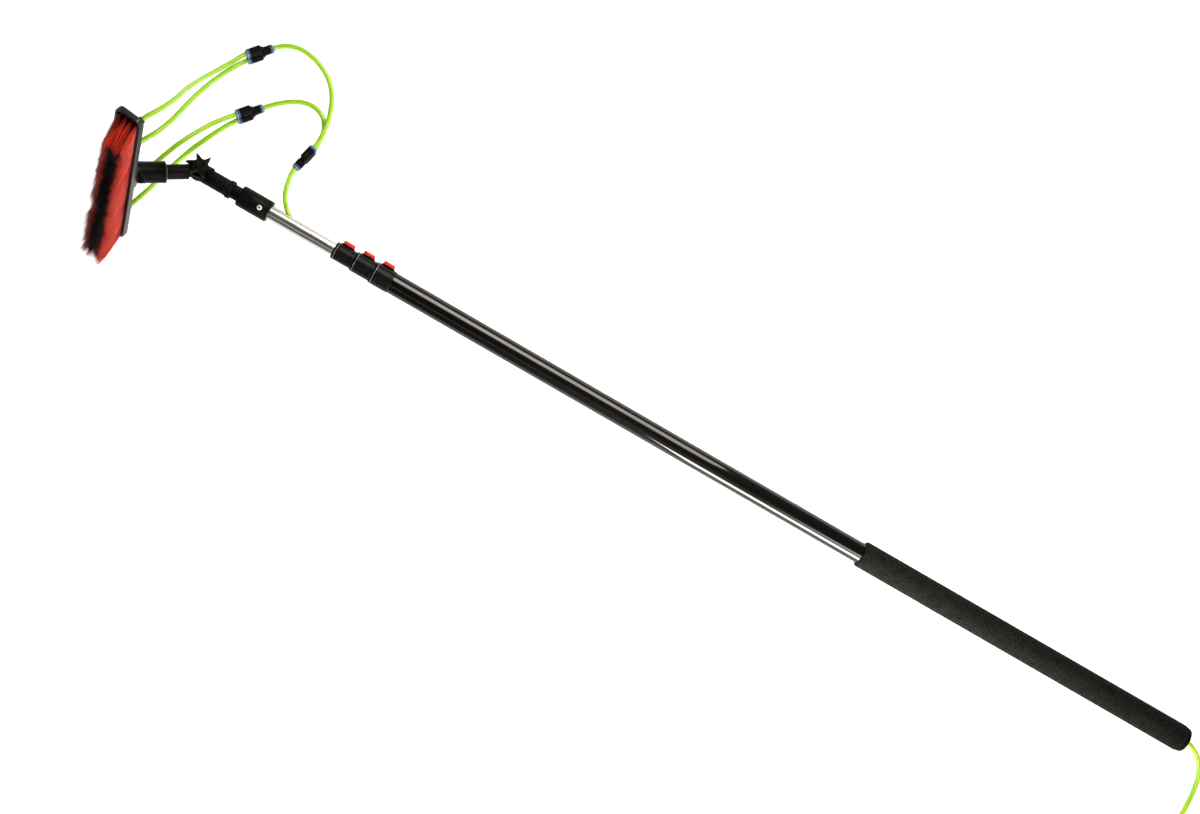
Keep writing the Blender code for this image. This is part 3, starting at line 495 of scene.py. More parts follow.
COIL_CENTRE = Vector((0.9802, -0.1600, 0.0))
COIL_INNER_LINE = 0.0400
COIL_PITCH = 0.0082
COIL_TURNS = 4
COIL_LAYERS = 4
COIL_FIRST_HEIGHT = 0.0056
COIL_STEPS = 28
# where the tail's end reaches the tap connector, from the coil's centre
TAP_RADIUS = 0.0563
TAP_X = 0.024
TAP_HEIGHT = 0.0451
# turns of the tail up to the tap, steps of the last stretch, and the share of it that lies flat
TAP_TURNS = 17
TAP_STEPS = 14
TAP_FLAT = 0.55


def port(number, side):
    """Centre and outward direction of a connector's port: 0 is the single one, 1 and -1 are the pair."""
    way = -1 if side == 0 else 1
    matrix = CONNECTORS[number]
    point = matrix @ Vector((way * CONNECTOR_LENGTH / 2, side * BARREL_OFFSET, 0))
    return point, (matrix.to_3x3() @ Vector((way, 0, 0))).normalized()


def jet_port(index):
    """Centre and outward direction of a jet's mouth."""
    root = Vector((JET_PLACES[index - 1], 0, -RIB_HEIGHT))
    return BRUSH @ (root + JET_AXIS * JET_LENGTH), (BRUSH.to_3x3() @ JET_AXIS).normalized()


def leaving(end, depth):
    """Points that take a hose straight out of a port, from inside it to a little outside."""
    point, way = end
    return [point + way * at for at in (-depth, -depth / 2, 0, STRAIGHT)]


def joined_route(first, middle, last, last_depth=PORT_DEPTH):
    return leaving(first, PORT_DEPTH) + [Vector(p) for p in middle] + leaving(last, last_depth)[::-1]


def spline(route, per_span=3):
    """Points on the uniform cubic B-spline of a route, from its first point to its last."""
    route = [Vector(point) for point in route]
    points = [route[0]]
    for a, b, c, d in zip(route, route[1:], route[2:], route[3:]):
        for step in range(per_span):
            t = step / per_span
            points.append((a * (1 - t) ** 3 + b * (3 * t ** 3 - 6 * t * t + 4)
                           + c * (-3 * t ** 3 + 3 * t * t + 3 * t + 1) + d * t ** 3) / 6)
    points.append((route[-3] + 4 * route[-2] + route[-1]) / 6)
    return points + [route[-1]]


def hose(name, route, body, replaces, per_span=3):
    """A free lime hose along a route."""
    points = spline(route, per_span)
    shape = bmesh.new()
    sweep(shape, points, HOSE_RADIUS)
    made = piece(name, shape, LIME, body, replaces)
    return made


def coil_route():
    """The rest of the tail: layers of turns, in and out by turns, then up and over to the tap connector."""
    outer_line = COIL_INNER_LINE + COIL_TURNS * COIL_PITCH
    points, angle = [], 0.0

    def add(radius, height):
        points.append(COIL_CENTRE + Vector((radius * math.cos(angle), radius * math.sin(angle), height)))

    for layer in range(COIL_LAYERS):
        height = COIL_FIRST_HEIGHT + layer * COIL_PITCH
        inward = layer % 2 == 0
        for step in range(COIL_TURNS * COIL_STEPS + 1):
            travel = COIL_PITCH * step / COIL_STEPS
            add(outer_line - travel if inward else COIL_INNER_LINE + travel, height)
            angle -= 2 * math.pi / COIL_STEPS
        radius = COIL_INNER_LINE if inward else outer_line
        climb = COIL_STEPS // 4
        for step in range(1, climb):
            add(radius, height + COIL_PITCH * step / climb)
            angle -= 2 * math.pi / COIL_STEPS
    start_angle = angle
    last_angle = -math.atan2(TAP_RADIUS, TAP_X) - 2 * math.pi * TAP_TURNS
    height = COIL_FIRST_HEIGHT + COIL_LAYERS * COIL_PITCH
    end_radius = math.hypot(TAP_RADIUS, TAP_X)
    for step in range(TAP_STEPS):
        share = step / TAP_STEPS
        angle = start_angle + (last_angle - start_angle) * share
        lift = max(0.0, share - TAP_FLAT) / (1 - TAP_FLAT)
        add(outer_line + (end_radius - outer_line) * share ** 2, height + (TAP_HEIGHT - height) * lift)
    mouth = COIL_CENTRE + Vector((TAP_X, -TAP_RADIUS, TAP_HEIGHT))
    points += [mouth + Vector((x, 0, 0)) for x in (0.006, 0.0, -0.007, -0.0135)]
    return points


def make_hoses():
    riser_route = [Vector(p) for p in RISER] + leaving(port(3, 0), PORT_DEPTH)[::-1]
    hose("riser", riser_route, "top_section", ["riser_hose"])
    hose("branch_a", joined_route(port(3, 1), HOSE_A, port(1, 0)), "top_section", ["hose_a"])
    hose("branch_b", joined_route(port(3, -1), HOSE_B, port(2, 0)), "top_section", ["hose_b"])
    # hose, connector and its side, route, and jet
    branches = (("c", 1, -1, HOSE_C, 1), ("d", 1, 1, HOSE_D, 2), ("e", 2, -1, HOSE_E, 3),
                ("f", 2, 1, HOSE_F, 4))
    for letter, connector, side, middle, jet in branches:
        start, end = port(connector, side), jet_port(jet)
        route = joined_route(start, middle, end, JET_DEPTH)
        made = hose("branch_" + letter, route, None, ["hose_" + letter])
        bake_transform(made)
    tail_route = [Vector(p) for p in TAIL[:-1]] + coil_route()
    hose("tail", tail_route, "outer_section", ["tail_hose", "tail_coil"],
         per_span=2)


# ---- connectors and fittings ----
# how far a collet stands out of its barrel, and the depth of the barrels' grooves
COLLET_REACH = 0.0020
BARREL_GROOVE = 0.0005
FITTING_STEPS = 40


def make_connector(number):
    """A push-fit Y: a grooved barrel for one hose, and two side by side joined by a flat waist."""
    matrix = CONNECTORS[number]
    face = CONNECTOR_LENGTH / 2 - COLLET_REACH - GAP
    edge, groove = BARREL_RADIUS - 0.0008, BARREL_RADIUS - BARREL_GROOVE
    single = [(edge, -face), (BARREL_RADIUS, -face + 0.0008), (BARREL_RADIUS, -face + 0.0042)]
    single += [(groove, -face + 0.0046), (groove, -face + 0.0054)]
    single += [(BARREL_RADIUS, -face + 0.0058), (BARREL_RADIUS, -0.0060), (BARREL_RADIUS - 0.0012, -0.0045)]
    single += [(BARREL_RADIUS - 0.0012, 0.0010)]
    pair = [(BARREL_RADIUS - 0.0014, -0.0030), (BARREL_RADIUS, -0.0015), (BARREL_RADIUS, face - 0.0058)]
    pair += [(groove, face - 0.0054), (groove, face - 0.0046)]
    pair += [(BARREL_RADIUS, face - 0.0042), (BARREL_RADIUS, face - 0.0008), (edge, face)]
    shape = turned_shape(single, Z_TO_X, FITTING_STEPS)
    for side in (1, -1):
        turned(shape, pair, shift(0, side * BARREL_OFFSET, 0) @ Z_TO_X, FITTING_STEPS)
    waist = rounded_rectangle(0.020, 0.0175, 0.004)
    rounded_plate(shape, waist, -0.0046, 0.0046, 0.0008, shift(0.002, 0, 0))
    piece(f"y_fitting_{number}", shape, BLACK, "top_section", [f"y_connector_{number}"], matrix)
    for name, offset, flip in (("single", 0, 180), ("left", BARREL_OFFSET, 0), ("right", -BARREL_OFFSET, 0)):
        where = shift(0, offset, 0) @ turn(flip, "Z") @ Z_TO_X
        make_collet(f"collet_{number}_{name}", face, where, matrix)


def make_collet(name, face, where, matrix):
    """The ring that grips a hose, with a pale band at its root and a cuff round the barrel behind it."""
    outside = CONNECTOR_LENGTH / 2
    bore = HOSE_RADIUS + GAP
    ring = [(bore, face - 0.009), (0.0053, face - 0.009), (0.0053, face + GAP), (0.0062, face + GAP)]
    ring += [(0.0066, face + 0.0007), (0.0066, outside - 0.0004), (0.0061, outside), (bore, outside)]
    band = [(0.0068, face + GAP), (0.0073, face + GAP), (0.0073, face + 0.0010), (0.0068, face + 0.0010)]
    cuff = [(0.0071, face - 0.0036), (0.0075, face - 0.0034), (0.0075, face - 0.0004)]
    cuff += [(0.0071, face - 0.0002)]
    shape = turned_shape(ring, where, FITTING_STEPS, closed=True)
    made = piece(name + "_ring", shape, BLUE, "top_section", [name], matrix)
    for part, profile, look in (("_band", band, PALE), ("_cuff", cuff, BLUE)):
        shape = turned_shape(profile, where, FITTING_STEPS, closed=True)
        attach(piece(name + part, shape, look, None, (), matrix), made)


def make_tail_end():
    """The strap that ties the coil, with its buckle, and the connector for a garden tap."""
    low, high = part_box("coil_tie")
    centre = (low + high) / 2
    long, tall, half = high.x - low.x, high.z - low.z, (high.y - low.y) / 2
    outline = rounded_rectangle(long, tall, 0.006)
    inner = rounded_rectangle(long - 0.0020, tall - 0.0020, 0.005)
    rings = [(outline, -half), (outline, half), (inner, half), (inner, -half)]
    shape = bmesh.new()
    loft(shape, rings, turn(90, "X"), closed=True)
    tie = piece("tail_tie", shape, STRAP, "outer_section", ["coil_tie"], shift(*centre))
    shape = bmesh.new()
    rounded_plate(shape, rounded_rectangle(0.014, 0.022, 0.002), 0, 0.0028, 0.0008)
    buckle_frame = shift(centre.x - 0.004, centre.y, high.z - 0.0004)
    attach(piece("tie_buckle", shape, BLACK, None, (), buckle_frame), tie)

    low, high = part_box("tap_connector")
    matrix = shift(high.x, (low.y + high.y) / 2, (low.z + high.z) / 2) @ turn(-90, "Y")
    bore = HOSE_RADIUS + GAP
    profile = [(bore, 0), (0.0088, 0), (0.0096, 0.001), (0.0096, 0.014), (0.0088, 0.0155), (0.0088, 0.0165)]
    profile += [(0.0100, 0.018), (0.0100, 0.032), (0.0078, 0.034), (0.0078, 0.041), (0.0058, 0.041)]
    profile += [(0.0058, 0.044), (0.0070, 0.044), (0.0070, 0.050), (0.0062, 0.052), (0.0025, 0.052)]
    profile += [(0.0025, 0.014), (bore, 0.014)]
    shape = turned_shape(profile, closed=True)
    rounded_plate(shape, toothed(0.0098, 0.0105, 20, 0.6, 6), 0.0185, 0.0315, 0.0006)
    piece("tap_fitting", shape, BLACK, "outer_section", ["tap_connector"], matrix)


# ---- pole ----
TUBE_WALL = 0.0012
# node, outer radius, start and end along the pole, and body
TUBES = (
    ("outer_tube", 0.0175, 0.0063, 1.5160, "outer_section"),
    ("second_tube", 0.0153, 0.0300, 1.5510, "second_section"),
    ("third_tube", 0.0133, 0.0600, 1.5860, "third_section"),
    ("top_tube", 0.0117, 0.0900, 1.7570, "top_section"),
)
# number, outer radius, start along the pole, radii of the tube it holds and of the one it guides, and body
COLLARS = (
    ("3", 0.0185, 1.5100, 0.0175, 0.0153, "outer_section"),
    ("2", 0.0168, 1.5450, 0.0153, 0.0133, "second_section"),
    ("1", 0.0147, 1.5800, 0.0133, 0.0117, "third_section"),
)
COLLAR_LENGTH = 0.0347
COLLAR_SEAT = 0.0063
GRIP_RADIUS = 0.0225
GRIP_END = 0.6340
GRIP_EDGE = 0.0034
CAP_RADIUS = 0.0212
CAP_THICKNESS = 0.0060
SOCKET_RADIUS = 0.01735
SOCKET_START = 1.7304
SOCKET_END = 1.7839
SCREW_AT = 1.7460
SCREW_TURN = -6
NECK_RADIUS = 0.0117
# sides that a large turned part is given
ROUND_STEPS = 96
# the riser hose's slot in the silver tube: length along the side and along the pole, corner radius, and place
SLOT = (0.0096, 0.027, 0.0047)
SLOT_AT = 1.7010
# length, width and corner radius of a lock button, and of the boss, well and window round it
BUTTON = (0.0120, 0.0200, 0.0052)
BOSS = (0.0152, 0.0232, 0.0068)
WELL = (0.0126, 0.0206, 0.0055)
WINDOW = (0.0070, 0.0136, 0.0034)
# the button's outline shrinks by these scales as its height grows
CROWN = ((1.0, 0.0), (1.0, 0.0036), (0.985, 0.0046), (0.94, 0.0055), (0.86, 0.0061), (0.70, 0.0065),
         (0.40, 0.0067))


def grooved(radius, low, high, grooves, edge=0.0008, depth=0.0005, width=0.0008):
    """Outer profile of a cylinder with rounded ends and narrow grooves at the given heights."""
    points = [(radius - edge, low), (radius - edge * 0.3, low + edge * 0.3), (radius, low + edge)]
    for height in grooves:
        points += [(radius, height - width), (radius - depth, height - width / 2)]
        points += [(radius - depth, height + width / 2), (radius, height + width)]
    points += [(radius, high - edge), (radius - edge * 0.3, high - edge * 0.3), (radius - edge, high)]
    return points


def make_tubes():
    lip = 0.0004
    for name, radius, start, end, body in TUBES:
        inner = radius - TUBE_WALL
        profile = [(inner, start + lip), (inner + lip, start), (radius - lip, start), (radius, start + lip)]
        profile += [(radius, end - lip), (radius - lip, end), (inner + lip, end), (inner, end - lip)]
        shape = turned_shape(profile, steps=ROUND_STEPS, closed=True)
        look = SILVER if name == "top_tube" else BLACK_TUBE
        tube = piece(name + "_skin", shape, look, body, [name], POLE)
    # the last one is the silver tube
    carve(tube, prism(rounded_rectangle(*SLOT), 0.0, 0.03, shift(0, 0, SLOT_AT) @ Z_TO_Y))


def make_collar(number, outer, start, held, guided, body):
    """A collar with two grooves, a boss round its button, and a pale ring in its front groove that is a painted
    highlight.
    """
    end, middle = start + COLLAR_LENGTH, start + COLLAR_LENGTH / 2
    seat, bore = held + GAP, guided + 0.0004
    profile = [(seat, start)] + grooved(outer, start, end, (start + 0.0040, end - 0.0042), 0.0010)
    profile += [(bore, end), (bore, start + COLLAR_SEAT), (seat, start + COLLAR_SEAT)]
    shape = turned_shape(profile, steps=ROUND_STEPS, closed=True)
    made = piece(f"collar_{number}", shape, SATIN_BLACK, body, [f"clamp_collar_{number}"], POLE)
    facing = shift(0, 0, middle) @ Z_TO_Y
    boss = bmesh.new()
    rounded_plate(boss, rounded_rectangle(*BOSS), outer - 0.0035, outer + 0.0015, 0.0006, facing)
    carve(made, boss, "UNION")
    carve(made, prism(rounded_rectangle(*WELL), outer - 0.0018, outer + 0.01, facing))
    carve(made, prism(rounded_rectangle(*WINDOW), 0.002, outer + 0.01, facing))

    # painted highlight: a pale ring in the front groove, where light glints on its edge
    line = [(outer - 0.0003, end - 0.0044), (outer + 0.0001, end - 0.0044), (outer + 0.0001, end - 0.0039)]
    line += [(outer - 0.0003, end - 0.0039)]
    shape = turned_shape(line, steps=ROUND_STEPS, closed=True)
    attach(piece(f"collar_painted_highlight_{number}", shape, PAINTED_RIM_HIGHLIGHT, None, (), POLE), made)
    make_button(number, outer + 0.0005, facing)


def make_button(number, skirt, facing):
    """A red button with a round crown and a pit in its top; its skirt is so far from the pole's axis."""
    outline = rounded_rectangle(*BUTTON)
    rings = []
    for scale, height in CROWN:
        rings.append(([(x * scale, y * (0.3 + 0.7 * scale)) for x, y in outline], skirt + height))
    shape = bmesh.new()
    loft(shape, rings, facing)
    made = piece(f"button_cap_{number}", shape, RED, "button_" + number, [f"lock_button_{number}"], POLE, 60)
    carve(made, turned_shape([(0.0029, skirt - 0.001), (0.0029, skirt + 0.004)], facing, 24), sharp=60)


def make_grip():
    """The foam sleeve, and the cap that is pushed into the tube's end, with a hole for the tail hose."""
    inner = TUBES[0][1] + GAP
    low, high = CAP_THICKNESS + GAP, GRIP_END
    profile = [(inner, low)] + soften(GRIP_RADIUS, GRIP_EDGE, low, high, 6) + [(inner, high)]
    shape = turned_shape(profile, steps=ROUND_STEPS, closed=True)
    piece("grip_foam", shape, FOAM, "outer_section", ["foam_grip"], POLE, 60)
    spigot = TUBES[0][1] - TUBE_WALL - GAP
    hole = HOSE_RADIUS + 0.0006
    profile = [(hole + 0.0008, 0.0), (CAP_RADIUS - 0.0022, 0.0), (CAP_RADIUS - 0.0006, 0.0006)]
    profile += [(CAP_RADIUS, 0.0022), (CAP_RADIUS, CAP_THICKNESS - 0.0004)]
    profile += [(CAP_RADIUS - 0.0004, CAP_THICKNESS), (spigot, CAP_THICKNESS), (spigot, 0.0196)]
    profile += [(spigot - 0.0004, 0.020), (spigot - 0.003, 0.020)]
    profile += [(spigot - 0.003, 0.0045), (hole, 0.0045), (hole, 0.0008)]
    shape = turned_shape(profile, steps=ROUND_STEPS, closed=True)
    piece("cap_moulding", shape, BLACK, "outer_section", ["butt_cap"], POLE)


def hexagonal(radius, steps):
    """A hexagon's outline in so many points."""
    corners = circle(radius, 6)
    count = steps // 6
    points = []
    for (x0, y0), (x1, y1) in zip(corners, corners[1:] + corners[:1]):
        points += [(x0 + (x1 - x0) * step / count, y0 + (y1 - y0) * step / count) for step in range(count)]
    return points


def make_socket():
    """The moulded socket on the silver tube, with a bright screw in a round seat."""
    bore = NECK_RADIUS + GAP
    outside = grooved(SOCKET_RADIUS, SOCKET_START, SOCKET_END, (SOCKET_START + 0.0045,), 0.0022, 0.0003)
    profile = [(bore, SOCKET_START)] + outside + [(bore, SOCKET_END)]
    shape = turned_shape(profile, steps=ROUND_STEPS, closed=True)
    made = piece("socket_moulding", shape, BLACK, "top_section", ["pole_socket"], POLE)
    facing = shift(0, 0, SCREW_AT) @ turn(SCREW_TURN, "Z") @ Z_TO_X
    floor = SOCKET_RADIUS - 0.0012
    carve(made, turned_shape([(0.0046, floor), (0.0046, floor + 0.01)], facing, 40))
    carve(made, turned_shape([(0.0023, 0.009), (0.0023, floor + 0.02)], facing, 24))

    low, top, steps = floor + GAP, floor + GAP + 0.0019, 36
    head = ((0.0041, low), (0.0041, low + 0.0008), (0.0038, low + 0.0014), (0.0031, top))
    rings = [(circle(radius, steps), height) for radius, height in head]
    recess = hexagonal(0.0019, steps)
    rings += [(recess, top), (recess, low + 0.0004)]
    shape = bmesh.new()
    loft(shape, rings, facing)
    turned(shape, [(0.0020, NECK_RADIUS + 2 * GAP), (0.0020, low + 0.0002)], facing, 24)
    screw = piece("socket_screw_head", shape, SCREW, "top_section", ["socket_screw"], POLE)
    # painted shade: a black disc on the floor of the screw's hex recess
    shape = turned_shape([(0.0016, low + 0.0005), (0.0016, low + 0.0007)], facing, 24)
    attach(piece("screw_recess_shade", shape, BLACK, None, (), POLE), screw)


# ---- hinge ----
LOWER_ARM_RADIUS = 0.0133
UPPER_ARM_RADIUS = 0.0120
LUG_RADIUS = 0.0145
LUG_THICKNESS = 0.0065
BOLT_RADIUS = 0.0030
LOBE_TURN = math.radians(10)
# the star knob's lobes, the radius between them, how far they stand out, and their swirl
LOBES = 6
KNOB_ROOT = 0.0118
LOBE_REACH = 0.0112
SWIRL = 0.10


def bolt_hole(low, high):
    """The hinge bolt's hole between two heights on the hinge's axis."""
    return turned_shape([(BOLT_RADIUS + GAP, low), (BOLT_RADIUS + GAP, high)], Z_TO_X, 32)


def make_arm(name, side, reach, radius, profile, node_name, body, matrix):
    """An arm: a round stem, and a serrated lug on one side of the hinge plane."""
    low, high = sorted((side * GAP / 2, side * (GAP / 2 + LUG_THICKNESS)))
    made = piece(name, turned_shape(profile), BLACK, body, [node_name], matrix)
    half = radius * 0.86
    carve(made, block((low, -half, min(0, reach)), (high, half, max(0, reach))), "UNION")
    disc = bmesh.new()
    rounded_plate(disc, toothed(LUG_RADIUS - 0.0007, LUG_RADIUS, 26, 0.7, 6), low, high, 0.0005, Z_TO_X)
    carve(made, disc, "UNION")
    carve(made, bolt_hole(-0.03, 0.03))


def make_hinge():
    stem = [(NECK_RADIUS - 0.0006, -0.0990), (NECK_RADIUS, -0.0984), (NECK_RADIUS, -0.0515)]
    stem += grooved(LOWER_ARM_RADIUS, -0.0515, -0.0165, (-0.0455, -0.0250), 0.0010)
    make_arm("lower_arm", -1, -0.020, LOWER_ARM_RADIUS, stem, "lower_hinge_arm", "top_section", HINGE)
    stem = grooved(UPPER_ARM_RADIUS, 0.0165, 0.0780, (0.0230,), 0.0010)
    make_arm("upper_arm_tube", 1, 0.020, UPPER_ARM_RADIUS, stem, "upper_arm", "head", ARM)

    ribs = toothed(0.0138, 0.0148, 22, 0.6, 8)
    bore = circle(NECK_RADIUS + GAP, len(ribs))
    flush = circle(0.0138, len(ribs))
    rings = [(flush, -0.0602), (ribs, -0.0596), (ribs, -0.0524), (flush, -0.0518)]
    rings += [(bore, -0.0518), (bore, -0.0602)]
    shape = bmesh.new()
    loft(shape, rings, closed=True)
    piece("lock_nut", shape, BLACK, "top_section", ["lock_ring"], HINGE)


def make_knob():
    """The star knob, whose lobes stand out of its hub and swirl a little."""
    face = GAP / 2 + LUG_THICKNESS + GAP
    hub = [(0.0088, face), (0.0098, face + 0.0010), (0.0098, face + 0.0122), (0.0090, face + 0.0134)]
    hub += [(0.0076, face + 0.0140), (0.0064, face + 0.0140), (0.0058, face + 0.0132)]
    hub += [(0.0050, face + 0.0130)]
    made = piece("knob_moulding", turned_shape(hub, Z_TO_X), BLACK, "knob", ["star_knob"], HINGE)
    outline = []
    for angle in angles(LOBES * 20):
        lobe = (1 - abs(math.sin(LOBES / 2 * angle))) ** 1.5
        radius = KNOB_ROOT + LOBE_REACH * lobe
        swirl = angle + LOBE_TURN + SWIRL * lobe
        outline.append((radius * math.cos(swirl), radius * math.sin(swirl)))
    star = bmesh.new()
    rounded_plate(star, outline, face + 0.0069, face + 0.0129, 0.0012, Z_TO_X)
    carve(made, star, "UNION")
    carve(made, bolt_hole(-0.01, face + 0.0116))


# ---- brush ----
STOCK_LENGTH = 0.308
STOCK_WIDTH = 0.0455
STOCK_THICKNESS = 0.010
# height of the bristles' roots over the stock's back, and the stock's rim round them
BRISTLE_ROOT = 0.0063
STOCK_RIM = 0.0030
# cross ribs on the stock's back, the first one's place and their pitch, and the half of the pad that has none
CROSS_RIBS = 14
FIRST_RIB = -0.130
RIB_PITCH = 0.020
PAD_REACH = 0.030


def make_stock():
    """The stock: a rounded tray for the bristles with a back rib, cross ribs and a pad for the socket."""
    shape = bmesh.new()
    outline = rounded_rectangle(STOCK_LENGTH, STOCK_WIDTH, 0.010, 12)
    rounded_plate(shape, outline, 0, STOCK_THICKNESS, 0.0014)
    made = piece("stock_moulding", shape, STOCK_BLACK, "head", ["brush_stock"], BRUSH)
    rib, pad = bmesh.new(), bmesh.new()
    rounded_plate(rib, rounded_rectangle(0.284, 0.028, 0.006), -RIB_HEIGHT, 0.002, 0.0020)
    rounded_plate(pad, rounded_rectangle(0.048, 0.043, 0.004), -RIB_HEIGHT, 0.002, 0.0020)
    carve(made, rib, "UNION")
    carve(made, pad, "UNION")
    inside = rounded_rectangle(STOCK_LENGTH - 2 * STOCK_RIM, STOCK_WIDTH - 2 * STOCK_RIM, 0.0070, 12)
    carve(made, prism(inside, BRISTLE_ROOT - GAP, 0.03))
    for index in range(CROSS_RIBS):
        at = FIRST_RIB + index * RIB_PITCH
        if abs(at) > PAD_REACH:
            carve(made, block((at - 0.0008, -0.0205, -0.0035), (at + 0.0008, 0.0205, 0.0020)), "UNION")
    for at in JET_PLACES:
        carve(made, turned_shape([(0.0033, -0.02), (0.0033, 0.02)], shift(at, 0, 0), 24))


def make_brush_socket():
    """The socket the upper arm is pushed into, cut off flat on the stock's back, with a raised rear rim."""
    bore = UPPER_ARM_RADIUS + GAP
    profile = [(bore, 0.0520), (0.01665, 0.0520), (0.01725, 0.0526), (0.01725, 0.0556), (0.01695, 0.0562)]
    profile += [(0.01695, 0.0830), (0.01725, 0.0836), (0.01725, 0.1350), (0.0005, 0.1350), (0.0005, 0.0790)]
    profile += [(bore, 0.0790)]
    shape = turned_shape(profile, steps=ROUND_STEPS, closed=True)
    made = piece("arm_socket", shape, BLACK, "head", ["brush_socket"], ARM)
    flat = [(-0.2, -0.2), (0.2, -0.2), (0.2, 0.2), (-0.2, 0.2)]
    carve(made, prism(flat, -RIB_HEIGHT - GAP, 0.1, ARM.inverted() @ BRUSH))
    # painted highlight: a pale ring on the socket's rear edge
    line = [(0.0158, 0.0517), (0.0166, 0.0517), (0.0166, 0.05195), (0.0158, 0.05195)]
    shape = turned_shape(line, steps=ROUND_STEPS, closed=True)
    attach(piece("socket_rim_painted_highlight", shape, PAINTED_RIM_HIGHLIGHT, None, (), ARM), made)


def make_jets():
    """Each jet takes its hose at a slant and passes through the stock in a spigot."""
    lean = JET_AXIS.to_track_quat("Z", "X").to_matrix().to_4x4()
    bore = HOSE_RADIUS + GAP
    profile = [(0.0062, -0.008), (0.0062, 0.0108), (0.0055, 0.0116), (0.0055, 0.0124), (0.0062, 0.0132)]
    profile += [(0.0062, 0.0146), (0.0056, 0.0152), (0.0056, 0.0176), (0.0052, JET_LENGTH)]
    profile += [(bore, JET_LENGTH), (bore, 0.0080)]
    for index, at in enumerate(JET_PLACES, start=1):
        shape = turned_shape(profile, shift(at, 0, -RIB_HEIGHT) @ lean, 36)
        made = piece(f"jet_{index}", shape, BLACK, "head", [f"jet_fitting_{index}"], BRUSH)
        carve(made, block((-0.2, -0.2, -RIB_HEIGHT - GAP), (0.2, 0.2, 0.1)))
        spigot = [(0.0030, -RIB_HEIGHT - 0.004), (0.0030, 0.0055)]
        carve(made, turned_shape(spigot, shift(at, 0, 0), 24), "UNION")


# tufts along the brush, tuft rows across it, strands in a tuft, and the rings of points up a strand
COLUMNS = 36
ROWS = (-0.0152, -0.0058, 0.0042, 0.0150)
STRANDS = 76
LEVELS = (0.0, 0.35, 0.70)
STRAND_RADIUS = 0.00044
TUFT_RADIUS = 0.0023
FIELD_LENGTH = 0.2874
TIP_HEIGHT = 0.0670
# deviations: a tuft's drift and height, a strand's spread, height and bend
TUFT_DRIFT, TUFT_HEIGHT = 0.0016, 0.0020
STRAND_SPREAD, STRAND_HEIGHT, STRAND_BEND = 0.0014, 0.0012, 0.0010
# the tips lean to -Y, more towards +X, and flare to -X over the brush's -X half
LEAN = 0.0125
LEAN_SLOPE = 0.05
TIP_FLARE = 0.022
FLARE_SPAN = 0.148


def add_strand(points, faces, ring, root, tip, bend):
    """Adds a tapered three-sided strand's points and faces."""
    start = len(points)
    for level in LEVELS:
        centre = root + (tip - root) * level + bend * 4 * level * (1 - level)
        points.extend(centre + ring * STRAND_RADIUS * (1 - 0.5 * level))
    points.append(tip)
    for side in range(3):
        after = (side + 1) % 3
        for low in (start, start + 3):
            faces.append((low + side, low + after, low + 3 + after, low + 3 + side))
        faces.append((start + 6 + side, start + 6 + after, start + 9))


def make_bristles():
    """Tufts of tapered strands: red round the outside and black in the middle, leaning to -Y."""
    rng = np.random.default_rng(11)
    fields = {"red": ([], []), "black": ([], [])}
    around = 2 * math.pi * np.arange(3) / 3
    ring = np.stack([np.cos(around), np.sin(around), np.zeros(3)], axis=1)
    for column in range(COLUMNS):
        middle = FIELD_LENGTH * (column / (COLUMNS - 1) - 0.5)
        for row, across in enumerate(ROWS):
            red = row in (0, len(ROWS) - 1) or column in (0, COLUMNS - 1)
            drift = rng.normal(0, TUFT_DRIFT, 2)
            height = TIP_HEIGHT + rng.normal(0, TUFT_HEIGHT)
            for _ in range(STRANDS):
                angle, out = rng.uniform(0, 2 * math.pi), TUFT_RADIUS * math.sqrt(rng.uniform())
                offset = np.array([math.cos(angle), math.sin(angle)]) * out
                root = np.array([middle + offset[0], across + offset[1], BRISTLE_ROOT])
                spread = offset * 1.1 + rng.normal(0, STRAND_SPREAD, 2) + drift
                rise = height + rng.normal(0, STRAND_HEIGHT)
                tip = np.array([root[0] + spread[0], root[1] * 1.06 + spread[1], rise])
                tip[1] -= LEAN + LEAN_SLOPE * root[0]
                tip[0] -= TIP_FLARE * max(0.0, -middle / FLARE_SPAN) ** 2
                bend = np.array([rng.normal(0, STRAND_BEND), rng.normal(0, STRAND_BEND), 0.0])
                add_strand(*fields["red" if red else "black"], ring, root, tip, bend)
    looks = (("red", RED_BRISTLES, "outer_bristles"), ("black", BLACK_BRISTLES, "inner_bristles"))
    for colour, look, name in looks:
        points, faces = fields[colour]
        mesh = bpy.data.meshes.new(colour + "_strands")
        mesh.from_pydata([tuple(point) for point in points], [], faces)
        mesh.materials.append(look)
        made = placed(colour + "_strands", mesh, BRUSH)
        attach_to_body(made, "head")
        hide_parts(name)


# ---- floor and light ----
FLOOR_REACH = 12
FLOOR_DROP = 0.0004
# the floor is a light table, whose own pale glow keeps the shadows faint
FLOOR_GLOW = 0.85
WHITE = (1, 1, 1)
POLE_MIDDLE = (-0.10, 0.09, 0.06)
